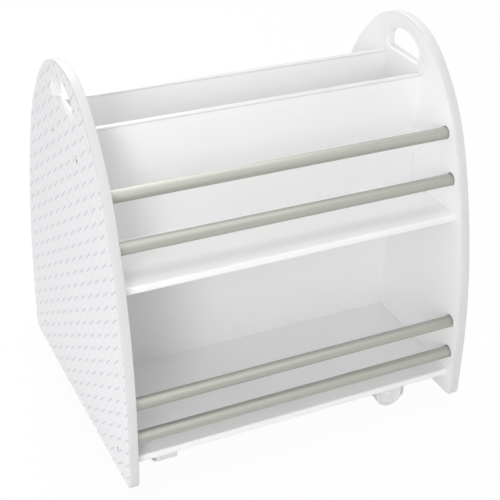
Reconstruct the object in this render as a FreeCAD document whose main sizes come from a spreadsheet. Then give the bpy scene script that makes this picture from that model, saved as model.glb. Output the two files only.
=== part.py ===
import FreeCAD, Part
import math
import os

import Sketcher

# A double-sided bookcase on twin-wheel castors. Two arched side panels carry two shelves,
# a pair of uprights with an open trough between them, a thin centre divider and eight tube rails.
# Millimetres. +Z is up, X runs from one side panel to the other, -Y is the front.
# The origin lies on the floor, under the middle of the bookcase.

# Driving sizes, one row for each size that can be set by itself.
SIZES = {
    "inner_width": 570,  # clear width between the side panels
    # side panels
    "panel_thickness": 15,
    "panel_depth": 497,  # front to back, across the straight lower part
    "panel_height": 608,  # bottom edge to crown
    "side_radius": 1020,  # long arc above the straight lower part
    "side_sweep": 20,  # degrees turned along it
    "shoulder_radius": 327,
    "shoulder_sweep": 28,
    "foot_radius": 15,  # bottom corners
    "panel_chamfer": 1.5,
    # hand slot in each side panel
    "slot_width": 101,
    "slot_height": 43,
    "slot_drop": 25,  # panel's crown to the slot's top
    "slot_crown_radius": 70,
    "slot_shoulder_radius": 18,
    "slot_corner_radius": 6,
    "slot_chamfer": 1.2,
    # shelves
    "shelf_thickness": 12,
    "board_round": 3,  # rounding of the long edges of shelves and uprights
    "upper_shelf_drop": 271,  # panel's crown to the upper shelf's top
    "upper_shelf_setback": 48.5,  # from the panels' front edge, as at the back
    "lower_shelf_rise": 37,  # panels' bottom edge to the lower shelf's underside
    "lower_shelf_setback": 18,
    # uprights on both sides of the trough
    "upright_thickness": 12,
    "trough_width": 104,
    "upright_drop": 79,  # panel's crown to the uprights' top
    "upright_seat_depth": 2,  # housing in the upper shelf that an upright stands in
    # thin divider between the shelves, held in grooves
    "divider_thickness": 6,
    "side_groove_depth": 4,
    "shelf_groove_depth": 3,
    "groove_gap": 0.1,  # left on each face of the divider, and of an upright in its housing
    "divider_end_gap": 0.5,  # left in the bottom of each groove
    # rails: tubes whose ends lie in blind holes in the side panels
    "rail_diameter": 20,
    "rail_wall": 1.2,
    "rail_seat_depth": 8,
    "rail_end_gap": 0.5,
    "rail_hole_slack": 1.5,  # hole's diameter less the rail's
    "rail_rest_gap": 0.1,  # under the rail, where it lies in its hole
    "top_rail_rise": 124.5,  # upper shelf's top to the hole's centre
    "top_rail_setback": 102,  # panel's front edge to the rail's centre
    "second_rail_rise": 54,
    "second_rail_setback": 73.5,
    "third_rail_rise": 94,  # lower shelf's top to the hole's centre
    "third_rail_setback": 28.5,
    "bottom_rail_rise": 34,
    "bottom_rail_setback": 24,
    # dowels
    "dowel_diameter": 6,  # across the corners of its flutes
    "dowel_length": 30,
    "dowel_end_gap": 0.5,  # left at each end of a dowel
    "dowel_gap": 0.05,  # left around a dowel
    "side_dowel_depth": 10,  # part of a dowel that is in a side panel
    "base_dowel_depth": 8,  # upper shelf's top to a standing dowel's lower end
    "shelf_dowel_spread": 280,  # between the upper shelf's two dowels at one end
    "upright_dowel_rise": 40,  # upper shelf's top to the uprights' end dowels
    "base_dowel_spread": 400,  # between the two dowels under an upright
    # connecting screws through the side panels
    "screw_diameter": 5,
    "screw_length": 50,
    "screw_end_gap": 3,  # left beyond the screw in a board
    "screw_head_diameter": 9.5,
    "screw_head_height": 3.5,
    "screw_gap": 0.05,  # left around the shank
    "head_hole_diameter": 10,
    "head_sink": 1,  # depth of the head's top below the panel's face
    "hex_size": 5,  # across the corners of the socket
    "hex_depth": 2.5,
    "upright_screw_drop": 48.5,  # uprights' top to their screws
    "shelf_screw_setback": 40,  # lower shelf's front edge to its screws
    # castors
    "castor_height": 64,  # floor to the lower shelf's underside
    "castor_side_setback": 69.5,  # side panel's inner face to the swivel axis
    "castor_front_setback": 52,  # lower shelf's front edge to the swivel axis
    "castor_trail": 20,  # swivel axis to the axle
    "wheel_diameter": 50,
    "wheel_width": 13,
    "wheel_side_gap": 0.5,  # between a wheel and the hood's web
    "axle_diameter": 5,
    "axle_depth": 9.5,  # part of the axle that is in a wheel
    "axle_end_gap": 0.5,
    "axle_gap": 0.05,  # running clearance around the axle
    "hood_web": 9,  # middle wall between the wheels
    "hood_wall": 2,
    "hood_clearance": 1.5,  # between the wheels' tread and the hood
    "hood_rear_angle": 35,  # degrees above the axle, where the hood ends behind the wheels
    "hood_front_angle": 25,  # degrees below the axle, where it ends in front
    "axle_boss_diameter": 12,
    "swivel_boss_diameter": 18,
    "swivel_boss_height": 19,
    "pin_diameter": 8,
    "pin_depth": 16.5,  # part of the pin that is in the hood
    "pin_end_gap": 1,
    "pin_gap": 0.05,  # running clearance around the pin
    "swivel_gap": 0.5,  # between the hood and the plate
    "plate_size": 42,
    "plate_thickness": 2.5,
    "plate_corner_radius": 6,
    "plate_hole_spacing": 32,
    "plate_hole_diameter": 4.5,
    # castor screws
    "wood_screw_diameter": 3.5,
    "wood_screw_length": 11.5,  # under the head
    "wood_screw_head_diameter": 7,
    "wood_screw_head_height": 2,
    "wood_screw_end_gap": 0.5,  # left beyond the screw in the shelf
}

doc = FreeCAD.newDocument("bookcase")
sheet = doc.addObject("Spreadsheet::Sheet", "Sizes")
for row, (alias, number) in enumerate(SIZES.items(), 1):
    sheet.set(f"A{row}", alias)
    sheet.set(f"B{row}", str(number))
    sheet.setAlias(f"B{row}", alias)
doc.recompute()


def size(alias):
    """The number that a cell of the sheet holds."""
    return float(sheet.get(alias))


def sheet_formula(formula):
    """A formula whose words are the sheet's aliases, as FreeCAD reads it."""
    words = formula.replace("(", "( ").replace(")", " )").split()
    return " ".join("Sizes." + word if word in SIZES else word for word in words)


def bind(thing, path, formula):
    """Ties one property of an object to the sheet."""
    thing.setExpression(path, sheet_formula(formula))


# Heights and places that several pieces share, worked out from the driving sizes.
PANEL_BOTTOM = "(castor_height - lower_shelf_rise)"
CROWN = f"({PANEL_BOTTOM} + panel_height)"
HALF_WIDTH = "(inner_width / 2)"
HALF_DEPTH = "(panel_depth / 2)"
UPPER_SHELF_TOP = f"({CROWN} - upper_shelf_drop)"
LOWER_SHELF_TOP = "(castor_height + shelf_thickness)"
UPRIGHT_TOP = f"({CROWN} - upright_drop)"
UPRIGHT_MIDDLE = "(trough_width / 2 + upright_thickness / 2)"
UPPER_SHELF_FRONT = f"({HALF_DEPTH} - upper_shelf_setback)"
LOWER_SHELF_FRONT = f"({HALF_DEPTH} - lower_shelf_setback)"
RAIL_DROP = "(rail_hole_slack / 2 - rail_rest_gap)"
CASTOR_X = f"({HALF_WIDTH} - castor_side_setback)"
CASTOR_Y = f"({LOWER_SHELF_FRONT} - castor_front_setback)"
UPRIGHT_SCREW_Z = f"({UPRIGHT_TOP} - upright_screw_drop)"
SHELF_SCREW_Y = f"({LOWER_SHELF_FRONT} - shelf_screw_setback)"
UPPER_SHELF_MIDDLE = f"({UPPER_SHELF_TOP} - shelf_thickness / 2)"
LOWER_SHELF_MIDDLE = "(castor_height + shelf_thickness / 2)"
UPRIGHT_DOWEL_Z = f"({UPPER_SHELF_TOP} + upright_dowel_rise)"
UPRIGHT_FOOT = f"({UPPER_SHELF_TOP} - upright_seat_depth)"

DOWEL_HOLE = "dowel_diameter + 2 * dowel_gap"
SCREW_HOLE = "screw_diameter + 2 * screw_gap"
BOARD_DOWEL_DEPTH = "dowel_length - side_dowel_depth + dowel_end_gap"
# the screw's head and shank share the panel with its sink, and the rest goes into the board
BOARD_SCREW_DEPTH = "screw_length - panel_thickness + head_sink + screw_end_gap"

# Every rail: its name, the height of its hole's centre and its distance from the middle plane.
RAILS = [
    ("top", f"({UPPER_SHELF_TOP} + top_rail_rise)", f"({HALF_DEPTH} - top_rail_setback)"),
    ("second", f"({UPPER_SHELF_TOP} + second_rail_rise)", f"({HALF_DEPTH} - second_rail_setback)"),
    ("third", f"({LOWER_SHELF_TOP} + third_rail_rise)", f"({HALF_DEPTH} - third_rail_setback)"),
    ("bottom", f"({LOWER_SHELF_TOP} + bottom_rail_rise)", f"({HALF_DEPTH} - bottom_rail_setback)"),
]
FRONT_AND_REAR = (("front", "-1"), ("rear", "1"))
LEFT_AND_RIGHT = (("left", "-1"), ("right", "1"))
# A castor plate's four screws, from its middle.
PLATE_CORNERS = [(f"{across} * plate_hole_spacing / 2", f"{along} * plate_hole_spacing / 2")
                 for across in ("-1", "1") for along in ("-1", "1")]
PIN_SIDES = 8  # dowels, screws and the holes they fill are fluted to eight sides
HEAD_SIDES = 12
TINY = 1e-3  # mm, for comparing places
ORIGIN = -1  # Sketcher's number for the origin and the horizontal axis
UPRIGHT_AXIS = -2  # and for the vertical axis
START, END, CENTRE = 1, 2, 3  # Sketcher's numbers for the points of an edge

nodes = []  # every sub-part, in the order it was made


def new_body(label):
    body = doc.addObject("PartDesign::Body", label)
    body.Label = label
    nodes.append(body)
    return body


def new_sketch(body, plane, out="0", across="0", up="0"):
    """A sketch on one of the body's own origin planes, shifted out of it and within it."""
    sketch = body.newObject("Sketcher::SketchObject", "Sketch")
    support = [item for item in body.Origin.OriginFeatures if item.Role == plane][0]
    sketch.AttachmentSupport = [(support, "")]
    sketch.MapMode = "FlatFace"
    bind(sketch, "AttachmentOffset.Base.x", across)
    bind(sketch, "AttachmentOffset.Base.y", up)
    bind(sketch, "AttachmentOffset.Base.z", out)
    return sketch


def constrain(sketch, formula, kind, *what):
    """Adds a dimension at the value that the drawn edges have, and ties it to the sheet."""
    edge = sketch.Geometry[what[0]] if what[0] >= 0 else None
    if kind == "Radius":
        drawn = edge.Radius
    elif kind == "Diameter":
        drawn = 2 * edge.Radius
    elif kind == "Angle":
        if edge.TypeId == "Part::GeomLineSegment":
            drawn = math.atan2(edge.EndPoint.y, edge.EndPoint.x)
        else:
            drawn = edge.LastParameter - edge.FirstParameter
    else:
        point = sketch.getPoint(*what[2:])
        drawn = point.x if kind == "DistanceX" else point.y
    index = sketch.addConstraint(Sketcher.Constraint(kind, *what, drawn))
    bind(sketch, f"Constraints[{index}]", formula)


def place_point(sketch, edge, point, across, up):
    """Fixes a point of an edge by its distances from the sketch's origin."""
    if across == "0":
        sketch.addConstraint(Sketcher.Constraint("PointOnObject", edge, point, UPRIGHT_AXIS))
    else:
        constrain(sketch, across, "DistanceX", ORIGIN, START, edge, point)
    if up == "0":
        sketch.addConstraint(Sketcher.Constraint("PointOnObject", edge, point, ORIGIN))
    else:
        constrain(sketch, up, "DistanceY", ORIGIN, START, edge, point)


def add_circle(sketch, diameter, across="0", up="0"):
    round_edge = Part.Circle(FreeCAD.Vector(0, 0, 0), FreeCAD.Vector(0, 0, 1), 1)
    edge = sketch.addGeometry(round_edge)
    place_point(sketch, edge, CENTRE, across, up)
    constrain(sketch, diameter, "Diameter", edge)


def add_rectangle(sketch, left, right, bottom, top):
    corners = [(-1, -1), (1, -1), (1, 1), (-1, 1)]
    edges = []
    for number in range(4):
        near = FreeCAD.Vector(*corners[number], 0)
        far = FreeCAD.Vector(*corners[(number + 1) % 4], 0)
        edges.append(sketch.addGeometry(Part.LineSegment(near, far)))
    for number in range(4):
        following = edges[(number + 1) % 4]
        sketch.addConstraint(Sketcher.Constraint("Coincident", edges[number], END, following, START))
    sketch.addConstraint(Sketcher.Constraint("Horizontal", edges[0]))
    sketch.addConstraint(Sketcher.Constraint("Vertical", edges[1]))
    sketch.addConstraint(Sketcher.Constraint("Horizontal", edges[2]))
    sketch.addConstraint(Sketcher.Constraint("Vertical", edges[3]))
    constrain(sketch, left, "DistanceX", ORIGIN, START, edges[0], START)
    constrain(sketch, right, "DistanceX", ORIGIN, START, edges[1], START)
    constrain(sketch, bottom, "DistanceY", ORIGIN, START, edges[0], START)
    constrain(sketch, top, "DistanceY", ORIGIN, START, edges[2], START)


def add_polygon(sketch, sides, diameter, across="0", up="0"):
    """A regular polygon with its first corner to the right, sized across its corners."""
    turns = [(math.cos(2 * math.pi * k / sides), math.sin(2 * math.pi * k / sides)) for k in range(sides)]
    edges = [add_line(sketch, near, far) for near, far in zip(turns, turns[1:] + turns[:1])]
    joints = [Sketcher.Constraint("Coincident", near, END, far, START)
              for near, far in zip(edges, edges[1:] + edges[:1])]
    dimensions = []
    formulas = []
    for edge, (right, upwards) in zip(edges, turns):
        dimensions.append(Sketcher.Constraint("DistanceX", ORIGIN, START, edge, START, right))
        formulas.append(f"{across} + {right:.9f} * ({diameter}) / 2")
        dimensions.append(Sketcher.Constraint("DistanceY", ORIGIN, START, edge, START, upwards))
        formulas.append(f"{up} + {upwards:.9f} * ({diameter}) / 2")
    sketch.addConstraint(joints)
    for index, formula in zip(sketch.addConstraint(dimensions), formulas):
        bind(sketch, f"Constraints[{index}]", formula)


def add_arc(sketch, across, up, radius, first, last):
    """An arc from its first angle to its last, in degrees, anticlockwise."""
    whole = Part.Circle(FreeCAD.Vector(across, up, 0), FreeCAD.Vector(0, 0, 1), radius)
    return sketch.addGeometry(Part.ArcOfCircle(whole, math.radians(first), math.radians(last)))


def add_line(sketch, near, far):
    return sketch.addGeometry(Part.LineSegment(FreeCAD.Vector(*near, 0), FreeCAD.Vector(*far, 0)))


def join_smoothly(sketch, edges):
    """Makes a closed chain of edges, each tangent to the next."""
    for near, far in zip(edges, edges[1:] + edges[:1]):
        sketch.addConstraint(Sketcher.Constraint("Tangent", near, END, far, START))


def pin_crown(sketch, arc, top, height):
    """Puts the highest point of a symmetric crown at the given height."""
    point = sketch.addGeometry(Part.Point(FreeCAD.Vector(0, top, 0)), True)
    sketch.addConstraint(Sketcher.Constraint("PointOnObject", arc, CENTRE, UPRIGHT_AXIS))
    sketch.addConstraint(Sketcher.Constraint("PointOnObject", point, START, UPRIGHT_AXIS))
    sketch.addConstraint(Sketcher.Constraint("PointOnObject", point, START, arc))
    constrain(sketch, height, "DistanceY", ORIGIN, START, point, START)


def add_pad(body, sketch, length, symmetric=False):
    pad = body.newObject("PartDesign::Pad", "Pad")
    pad.Profile = sketch
    bind(pad, "Length", length)
    if symmetric:
        pad.SideType = "Symmetric"
    return pad


def add_pocket(body, sketch, depth, along_normal=False):
    """Cuts against the sketch's normal, or along it, and makes sure that something is cut."""
    before = body.Tip
    pocket = body.newObject("PartDesign::Pocket", "Pocket")
    pocket.Profile = sketch
    pocket.Reversed = along_normal
    if depth == "through":
        pocket.Type = "ThroughAll"
        pocket.SideType = "Symmetric"
    else:
        bind(pocket, "Length", depth)
    doc.recompute()
    if pocket.Shape.Volume > before.Shape.Volume - 0.1:
        raise RuntimeError(f"{body.Label}: a pocket cuts nothing")
    return pocket


def add_fillet(body, names, radius):
    """Rounds the named edges of the body's last feature."""
    base = body.Tip
    fillet = body.newObject("PartDesign::Fillet", "Fillet")
    fillet.Base = (base, names)
    bind(fillet, "Radius", radius)
    doc.recompute()


def add_chamfer(body, names, width):
    """Bevels the named edges, or all edges of the named faces, of the body's last feature."""
    base = body.Tip
    chamfer = body.newObject("PartDesign::Chamfer", "Chamfer")
    chamfer.Base = (base, names)
    bind(chamfer, "Size", width)
    doc.recompute()


def faces_along(body, direction):
    """Names of the flat faces of the body's last feature that face along a direction, or away."""
    names = []
    for number, face in enumerate(body.Tip.Shape.Faces, 1):
        if face.Surface.TypeId == "Part::GeomPlane":
            if abs(abs(face.normalAt(0, 0).dot(direction)) - 1) < 1e-6:
                names.append(f"Face{number}")
    return names


def long_edges(body, direction):
    """Names of the straight edges of the body's last feature that run along a direction."""
    names = []
    for number, edge in enumerate(body.Tip.Shape.Edges, 1):
        if edge.Curve.TypeId == "Part::GeomLine":
            if abs(abs(edge.tangentAt(edge.FirstParameter).dot(direction)) - 1) < 1e-6:
                names.append(f"Edge{number}")
    return names


def place(thing, across="0", along="0", up="0", turn=None):
    """Puts an object in its place, turned about the vertical by a number of degrees."""
    if turn is not None:
        thing.Placement.Rotation = FreeCAD.Rotation(FreeCAD.Vector(0, 0, 1), turn)
    bind(thing, "Placement.Base.x", across)
    bind(thing, "Placement.Base.y", along)
    bind(thing, "Placement.Base.z", up)


X_AXIS = FreeCAD.Vector(1, 0, 0)
Z_AXIS = FreeCAD.Vector(0, 0, 1)


# ---- side panels ----

def draw_panel_outline(sketch):
    """Flat bottom, straight legs, long side arcs, shoulders and crown, all tangent."""
    half = size("panel_depth") / 2
    foot = size("foot_radius")
    side = size("side_radius")
    shoulder = size("shoulder_radius")
    low = math.radians(size("side_sweep"))
    high = low + math.radians(size("shoulder_sweep"))
    # the crown's radius and the leg's length close the chain of arcs
    reach = half - side * (1 - math.cos(low))
    crown = (reach - shoulder * (math.cos(low) - math.cos(high))) / math.cos(high)
    rise = side * math.sin(low) + shoulder * (math.sin(high) - math.sin(low))
    leg = size("panel_height") - rise - crown * (1 - math.sin(high))
    side_across = half - side
    shoulder_across = reach - shoulder * math.cos(low)
    shoulder_up = leg + (side - shoulder) * math.sin(low)
    crown_up = size("panel_height") - crown
    low = math.degrees(low)
    high = math.degrees(high)

    bottom = add_line(sketch, (foot - half, 0), (half - foot, 0))
    right_foot = add_arc(sketch, half - foot, foot, foot, 270, 360)
    right_leg = add_line(sketch, (half, foot), (half, leg))
    right_side = add_arc(sketch, side_across, leg, side, 0, low)
    right_shoulder = add_arc(sketch, shoulder_across, shoulder_up, shoulder, low, high)
    top = add_arc(sketch, 0, crown_up, crown, high, 180 - high)
    left_shoulder = add_arc(sketch, -shoulder_across, shoulder_up, shoulder, 180 - high, 180 - low)
    left_side = add_arc(sketch, -side_across, leg, side, 180 - low, 180)
    left_leg = add_line(sketch, (-half, leg), (-half, foot))
    left_foot = add_arc(sketch, foot - half, foot, foot, 180, 270)
    join_smoothly(sketch, [bottom, right_foot, right_leg, right_side, right_shoulder, top,
                           left_shoulder, left_side, left_leg, left_foot])
    sketch.addConstraint(Sketcher.Constraint("Horizontal", bottom))
    sketch.addConstraint(Sketcher.Constraint("PointOnObject", bottom, START, ORIGIN))
    for leg_edge in (right_leg, left_leg):
        sketch.addConstraint(Sketcher.Constraint("Vertical", leg_edge))
    for pair in ((right_foot, left_foot), (right_side, left_side),
                 (right_shoulder, left_shoulder), (right_leg, left_leg)):
        sketch.addConstraint(Sketcher.Constraint("Equal", *pair))
    constrain(sketch, "panel_depth / 2", "DistanceX", ORIGIN, START, right_leg, START)
    constrain(sketch, "-1 * panel_depth / 2", "DistanceX", ORIGIN, START, left_leg, START)
    constrain(sketch, "foot_radius", "Radius", right_foot)
    constrain(sketch, "side_radius", "Radius", right_side)
    constrain(sketch, "shoulder_radius", "Radius", right_shoulder)
    constrain(sketch, "side_sweep * 1 deg", "Angle", right_side)
    constrain(sketch, "shoulder_sweep * 1 deg", "Angle", right_shoulder)
    pin_crown(sketch, top, size("panel_height"), "panel_height")


def draw_hand_slot(sketch):
    """Flat bottom with small corners, and a crowned top with rounded shoulders."""
    half = size("slot_width") / 2
    corner = size("slot_corner_radius")
    shoulder = size("slot_shoulder_radius")
    crown = size("slot_crown_radius")
    top = size("panel_height") - size("slot_drop")
    bottom = top - size("slot_height")
    crown_up = top - crown
    shoulder_up = crown_up + math.sqrt((crown - shoulder) ** 2 - (half - shoulder) ** 2)
    turn = math.degrees(math.atan2(shoulder_up - crown_up, half - shoulder))

    sill = add_line(sketch, (corner - half, bottom), (half - corner, bottom))
    right_corner = add_arc(sketch, half - corner, bottom + corner, corner, 270, 360)
    right_wall = add_line(sketch, (half, bottom + corner), (half, shoulder_up))
    right_shoulder = add_arc(sketch, half - shoulder, shoulder_up, shoulder, 0, turn)
    arch = add_arc(sketch, 0, crown_up, crown, turn, 180 - turn)
    left_shoulder = add_arc(sketch, shoulder - half, shoulder_up, shoulder, 180 - turn, 180)
    left_wall = add_line(sketch, (-half, shoulder_up), (-half, bottom + corner))
    left_corner = add_arc(sketch, corner - half, bottom + corner, corner, 180, 270)
    join_smoothly(sketch, [sill, right_corner, right_wall, right_shoulder, arch,
                           left_shoulder, left_wall, left_corner])
    sketch.addConstraint(Sketcher.Constraint("Horizontal", sill))
    for wall in (right_wall, left_wall):
        sketch.addConstraint(Sketcher.Constraint("Vertical", wall))
    sketch.addConstraint(Sketcher.Constraint("Equal", right_corner, left_corner))
    sketch.addConstraint(Sketcher.Constraint("Equal", right_shoulder, left_shoulder))
    constrain(sketch, "slot_width / 2", "DistanceX", ORIGIN, START, right_wall, START)
    constrain(sketch, "-1 * slot_width / 2", "DistanceX", ORIGIN, START, left_wall, START)
    constrain(sketch, "slot_corner_radius", "Radius", right_corner)
    constrain(sketch, "slot_shoulder_radius", "Radius", right_shoulder)
    constrain(sketch, "slot_crown_radius", "Radius", arch)
    constrain(sketch, "panel_height - slot_drop - slot_height", "DistanceY", ORIGIN, START, sill, START)
    pin_crown(sketch, arch, top, "panel_height - slot_drop")


def make_side_panel(name, side):
    """A panel drawn from its own bottom edge up. Its inner face carries the blind holes."""
    panel = new_body(f"side_panel_{name}")
    inner, outer = ("0", "panel_thickness") if side == "1" else ("panel_thickness", "0")
    inwards = side == "1"  # a cut from the inner face runs along +X on the right panel

    outline = new_sketch(panel, "YZ_Plane")
    draw_panel_outline(outline)
    add_pad(panel, outline, "panel_thickness")
    doc.recompute()
    add_chamfer(panel, faces_along(panel, X_AXIS), "panel_chamfer")

    slot = new_sketch(panel, "YZ_Plane")
    draw_hand_slot(slot)
    add_pocket(panel, slot, "through")
    slot_top = size("panel_height") - size("slot_drop") + TINY
    slot_bottom = slot_top - size("slot_height") - 2 * TINY
    slot_side = size("slot_width") / 2 + TINY
    slot_edges = []
    for number, edge in enumerate(panel.Tip.Shape.Edges, 1):
        box = edge.BoundBox
        beside = box.YMin > -slot_side and box.YMax < slot_side
        if beside and box.ZMin > slot_bottom and box.ZMax < slot_top and box.XLength < TINY:
            slot_edges.append(f"Edge{number}")
    add_chamfer(panel, slot_edges, "slot_chamfer")

    rail_holes = new_sketch(panel, "YZ_Plane", out=inner)
    for _, height, distance in RAILS:
        for _, face in FRONT_AND_REAR:
            add_circle(rail_holes, "rail_diameter + rail_hole_slack",
                       f"{face} * {distance}", f"{height} - {PANEL_BOTTOM}")
    add_pocket(panel, rail_holes, "rail_seat_depth", along_normal=inwards)

    dowel_holes = new_sketch(panel, "YZ_Plane", out=inner)
    dowel_places = [("shelf_dowel_spread / 2", UPPER_SHELF_MIDDLE), (UPRIGHT_MIDDLE, UPRIGHT_DOWEL_Z)]
    for distance, height in dowel_places:
        for _, face in FRONT_AND_REAR:
            add_polygon(dowel_holes, PIN_SIDES, DOWEL_HOLE,
                        f"{face} * {distance}", f"{height} - {PANEL_BOTTOM}")
    add_pocket(panel, dowel_holes, "side_dowel_depth + dowel_end_gap", along_normal=inwards)

    groove = new_sketch(panel, "YZ_Plane", out=inner)
    add_rectangle(groove,
                  "-1 * (divider_thickness / 2 + groove_gap)",
                  "divider_thickness / 2 + groove_gap",
                  f"{LOWER_SHELF_TOP} - {PANEL_BOTTOM} - shelf_groove_depth",
                  f"{UPPER_SHELF_TOP} - shelf_thickness - {PANEL_BOTTOM} + shelf_groove_depth")
    add_pocket(panel, groove, "side_groove_depth", along_normal=inwards)

    screw_places = [(UPRIGHT_MIDDLE, UPRIGHT_SCREW_Z), (SHELF_SCREW_Y, LOWER_SHELF_MIDDLE)]
    shank_holes = new_sketch(panel, "YZ_Plane")
    head_holes = new_sketch(panel, "YZ_Plane", out=outer)
    for distance, height in screw_places:
        for _, face in FRONT_AND_REAR:
            spot = (f"{face} * {distance}", f"{height} - {PANEL_BOTTOM}")
            add_polygon(shank_holes, PIN_SIDES, SCREW_HOLE, *spot)
            add_circle(head_holes, "head_hole_diameter", *spot)
    add_pocket(panel, shank_holes, "through")
    add_pocket(panel, head_holes, "head_sink + screw_head_height", along_normal=not inwards)

    across = HALF_WIDTH if side == "1" else f"-1 * {HALF_WIDTH} - panel_thickness"
    place(panel, across, "0", PANEL_BOTTOM)
    return panel


# ---- shelves, uprights and divider ----

def make_board(name, depth, thickness):
    """A board as wide as the clear width, with its long edges rounded, drawn from its underside."""
    board = new_body(name)
    outline = new_sketch(board, "YZ_Plane")
    add_rectangle(outline, f"-1 * {depth} / 2", f"{depth} / 2", "0 * shelf_thickness", thickness)
    add_pad(board, outline, "inner_width", symmetric=True)
    doc.recompute()
    return board


def bore_board_ends(board, spots, depth, diameter):
    """Blind holes into both ends of a board."""
    for side, along_normal in (("1", False), ("-1", True)):
        holes = new_sketch(board, "YZ_Plane", out=f"{side} * {HALF_WIDTH}")
        for across, up in spots:
            add_polygon(holes, PIN_SIDES, diameter, across, up)
        add_pocket(board, holes, depth, along_normal=along_normal)


def make_upper_shelf():
    shelf = make_board("upper_shelf", f"(2 * {UPPER_SHELF_FRONT})", "shelf_thickness")
    add_fillet(shelf, long_edges(shelf, X_AXIS), "board_round")
    spots = [(f"{face} * shelf_dowel_spread / 2", "shelf_thickness / 2") for _, face in FRONT_AND_REAR]
    bore_board_ends(shelf, spots, BOARD_DOWEL_DEPTH, DOWEL_HOLE)
    # the housings part the shelf's top into the two book strips and the trough's floor
    for _, face in FRONT_AND_REAR:
        housing = new_sketch(shelf, "XY_Plane", out="shelf_thickness", up=f"{face} * {UPRIGHT_MIDDLE}")
        add_rectangle(housing, f"-1 * {HALF_WIDTH}", HALF_WIDTH,
                      "-1 * (upright_thickness / 2 + groove_gap)", "upright_thickness / 2 + groove_gap")
        add_pocket(shelf, housing, "upright_seat_depth")
    base_holes = new_sketch(shelf, "XY_Plane", out="shelf_thickness")
    for _, face in FRONT_AND_REAR:
        for _, side in LEFT_AND_RIGHT:
            add_polygon(base_holes, PIN_SIDES, DOWEL_HOLE,
                        f"{side} * base_dowel_spread / 2", f"{face} * {UPRIGHT_MIDDLE}")
    add_pocket(shelf, base_holes, "base_dowel_depth + dowel_end_gap")
    groove = new_sketch(shelf, "XY_Plane")
    add_rectangle(groove, f"-1 * {HALF_WIDTH}", HALF_WIDTH,
                  "-1 * (divider_thickness / 2 + groove_gap)", "divider_thickness / 2 + groove_gap")
    add_pocket(shelf, groove, "shelf_groove_depth", along_normal=True)
    place(shelf, "0", "0", f"{UPPER_SHELF_TOP} - shelf_thickness")


def make_lower_shelf():
    shelf = make_board("lower_shelf", f"(2 * {LOWER_SHELF_FRONT})", "shelf_thickness")
    add_fillet(shelf, long_edges(shelf, X_AXIS), "board_round")
    spots = [(f"{face} * {SHELF_SCREW_Y}", "shelf_thickness / 2") for _, face in FRONT_AND_REAR]
    bore_board_ends(shelf, spots, BOARD_SCREW_DEPTH, SCREW_HOLE)
    groove = new_sketch(shelf, "XY_Plane", out="shelf_thickness")
    add_rectangle(groove, f"-1 * {HALF_WIDTH}", HALF_WIDTH,
                  "-1 * (divider_thickness / 2 + groove_gap)", "divider_thickness / 2 + groove_gap")
    add_pocket(shelf, groove, "shelf_groove_depth")
    for _, side in LEFT_AND_RIGHT:
        for _, face in FRONT_AND_REAR:
            spot = {"across": f"{side} * {CASTOR_X}", "up": f"{face} * {CASTOR_Y}"}
            pilot_holes = new_sketch(shelf, "XY_Plane", **spot)
            for across, along in PLATE_CORNERS:
                add_polygon(pilot_holes, PIN_SIDES, "wood_screw_diameter + 2 * screw_gap", across, along)
            add_pocket(shelf, pilot_holes, "wood_screw_length - plate_thickness + wood_screw_end_gap",
                       along_normal=True)
    place(shelf, "0", "0", "castor_height")


def make_upright(name, face):
    upright = new_body(f"{name}_upright")
    outline = new_sketch(upright, "YZ_Plane")
    add_rectangle(outline, "-1 * upright_thickness / 2", "upright_thickness / 2",
                  "0 * upright_thickness", f"{UPRIGHT_TOP} - {UPRIGHT_FOOT}")
    add_pad(upright, outline, "inner_width", symmetric=True)
    doc.recompute()
    top = upright.Tip.Shape.BoundBox.ZMax
    edges = []
    for edge_name in long_edges(upright, X_AXIS):
        if upright.Tip.Shape.getElement(edge_name).BoundBox.ZMin > top - TINY:
            edges.append(edge_name)
    add_fillet(upright, edges, "board_round")
    bore_board_ends(upright, [("0", f"{UPRIGHT_DOWEL_Z} - {UPRIGHT_FOOT}")], BOARD_DOWEL_DEPTH, DOWEL_HOLE)
    bore_board_ends(upright, [("0", f"{UPRIGHT_SCREW_Z} - {UPRIGHT_FOOT}")], BOARD_SCREW_DEPTH, SCREW_HOLE)
    base_holes = new_sketch(upright, "XY_Plane")
    for _, side in LEFT_AND_RIGHT:
        add_polygon(base_holes, PIN_SIDES, DOWEL_HOLE, f"{side} * base_dowel_spread / 2")
    add_pocket(upright, base_holes, "upright_seat_depth - base_dowel_depth + dowel_length + dowel_end_gap",
               along_normal=True)
    place(upright, "0", f"{face} * {UPRIGHT_MIDDLE}", UPRIGHT_FOOT)


def make_divider():
    divider = new_body("centre_divider")
    outline = new_sketch(divider, "XZ_Plane")
    half = f"({HALF_WIDTH} + side_groove_depth - divider_end_gap)"
    add_rectangle(outline, f"-1 * {half}", half,
                  f"{LOWER_SHELF_TOP} - shelf_groove_depth + divider_end_gap",
                  f"{UPPER_SHELF_TOP} - shelf_thickness + shelf_groove_depth - divider_end_gap")
    add_pad(divider, outline, "divider_thickness", symmetric=True)


# ---- rails ----

def make_rail(face_name, face, rail_name, height, distance):
    """A tube along X whose ends lie on the lower side of their blind holes."""
    rail = new_body(f"{face_name}_{rail_name}_rail")
    ring = new_sketch(rail, "YZ_Plane")
    add_circle(ring, "rail_diameter")
    add_circle(ring, "rail_diameter - 2 * rail_wall")
    add_pad(rail, ring, "inner_width + 2 * (rail_seat_depth - rail_end_gap)", symmetric=True)
    place(rail, "0", f"{face} * {distance}", f"{height} - {RAIL_DROP}")


# ---- dowels and screws ----

def make_group(label, members):
    """Separate solids that share one node."""
    group = doc.addObject("Part::Compound", label)
    group.Label = label
    group.Links = members
    nodes.append(group)


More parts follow.
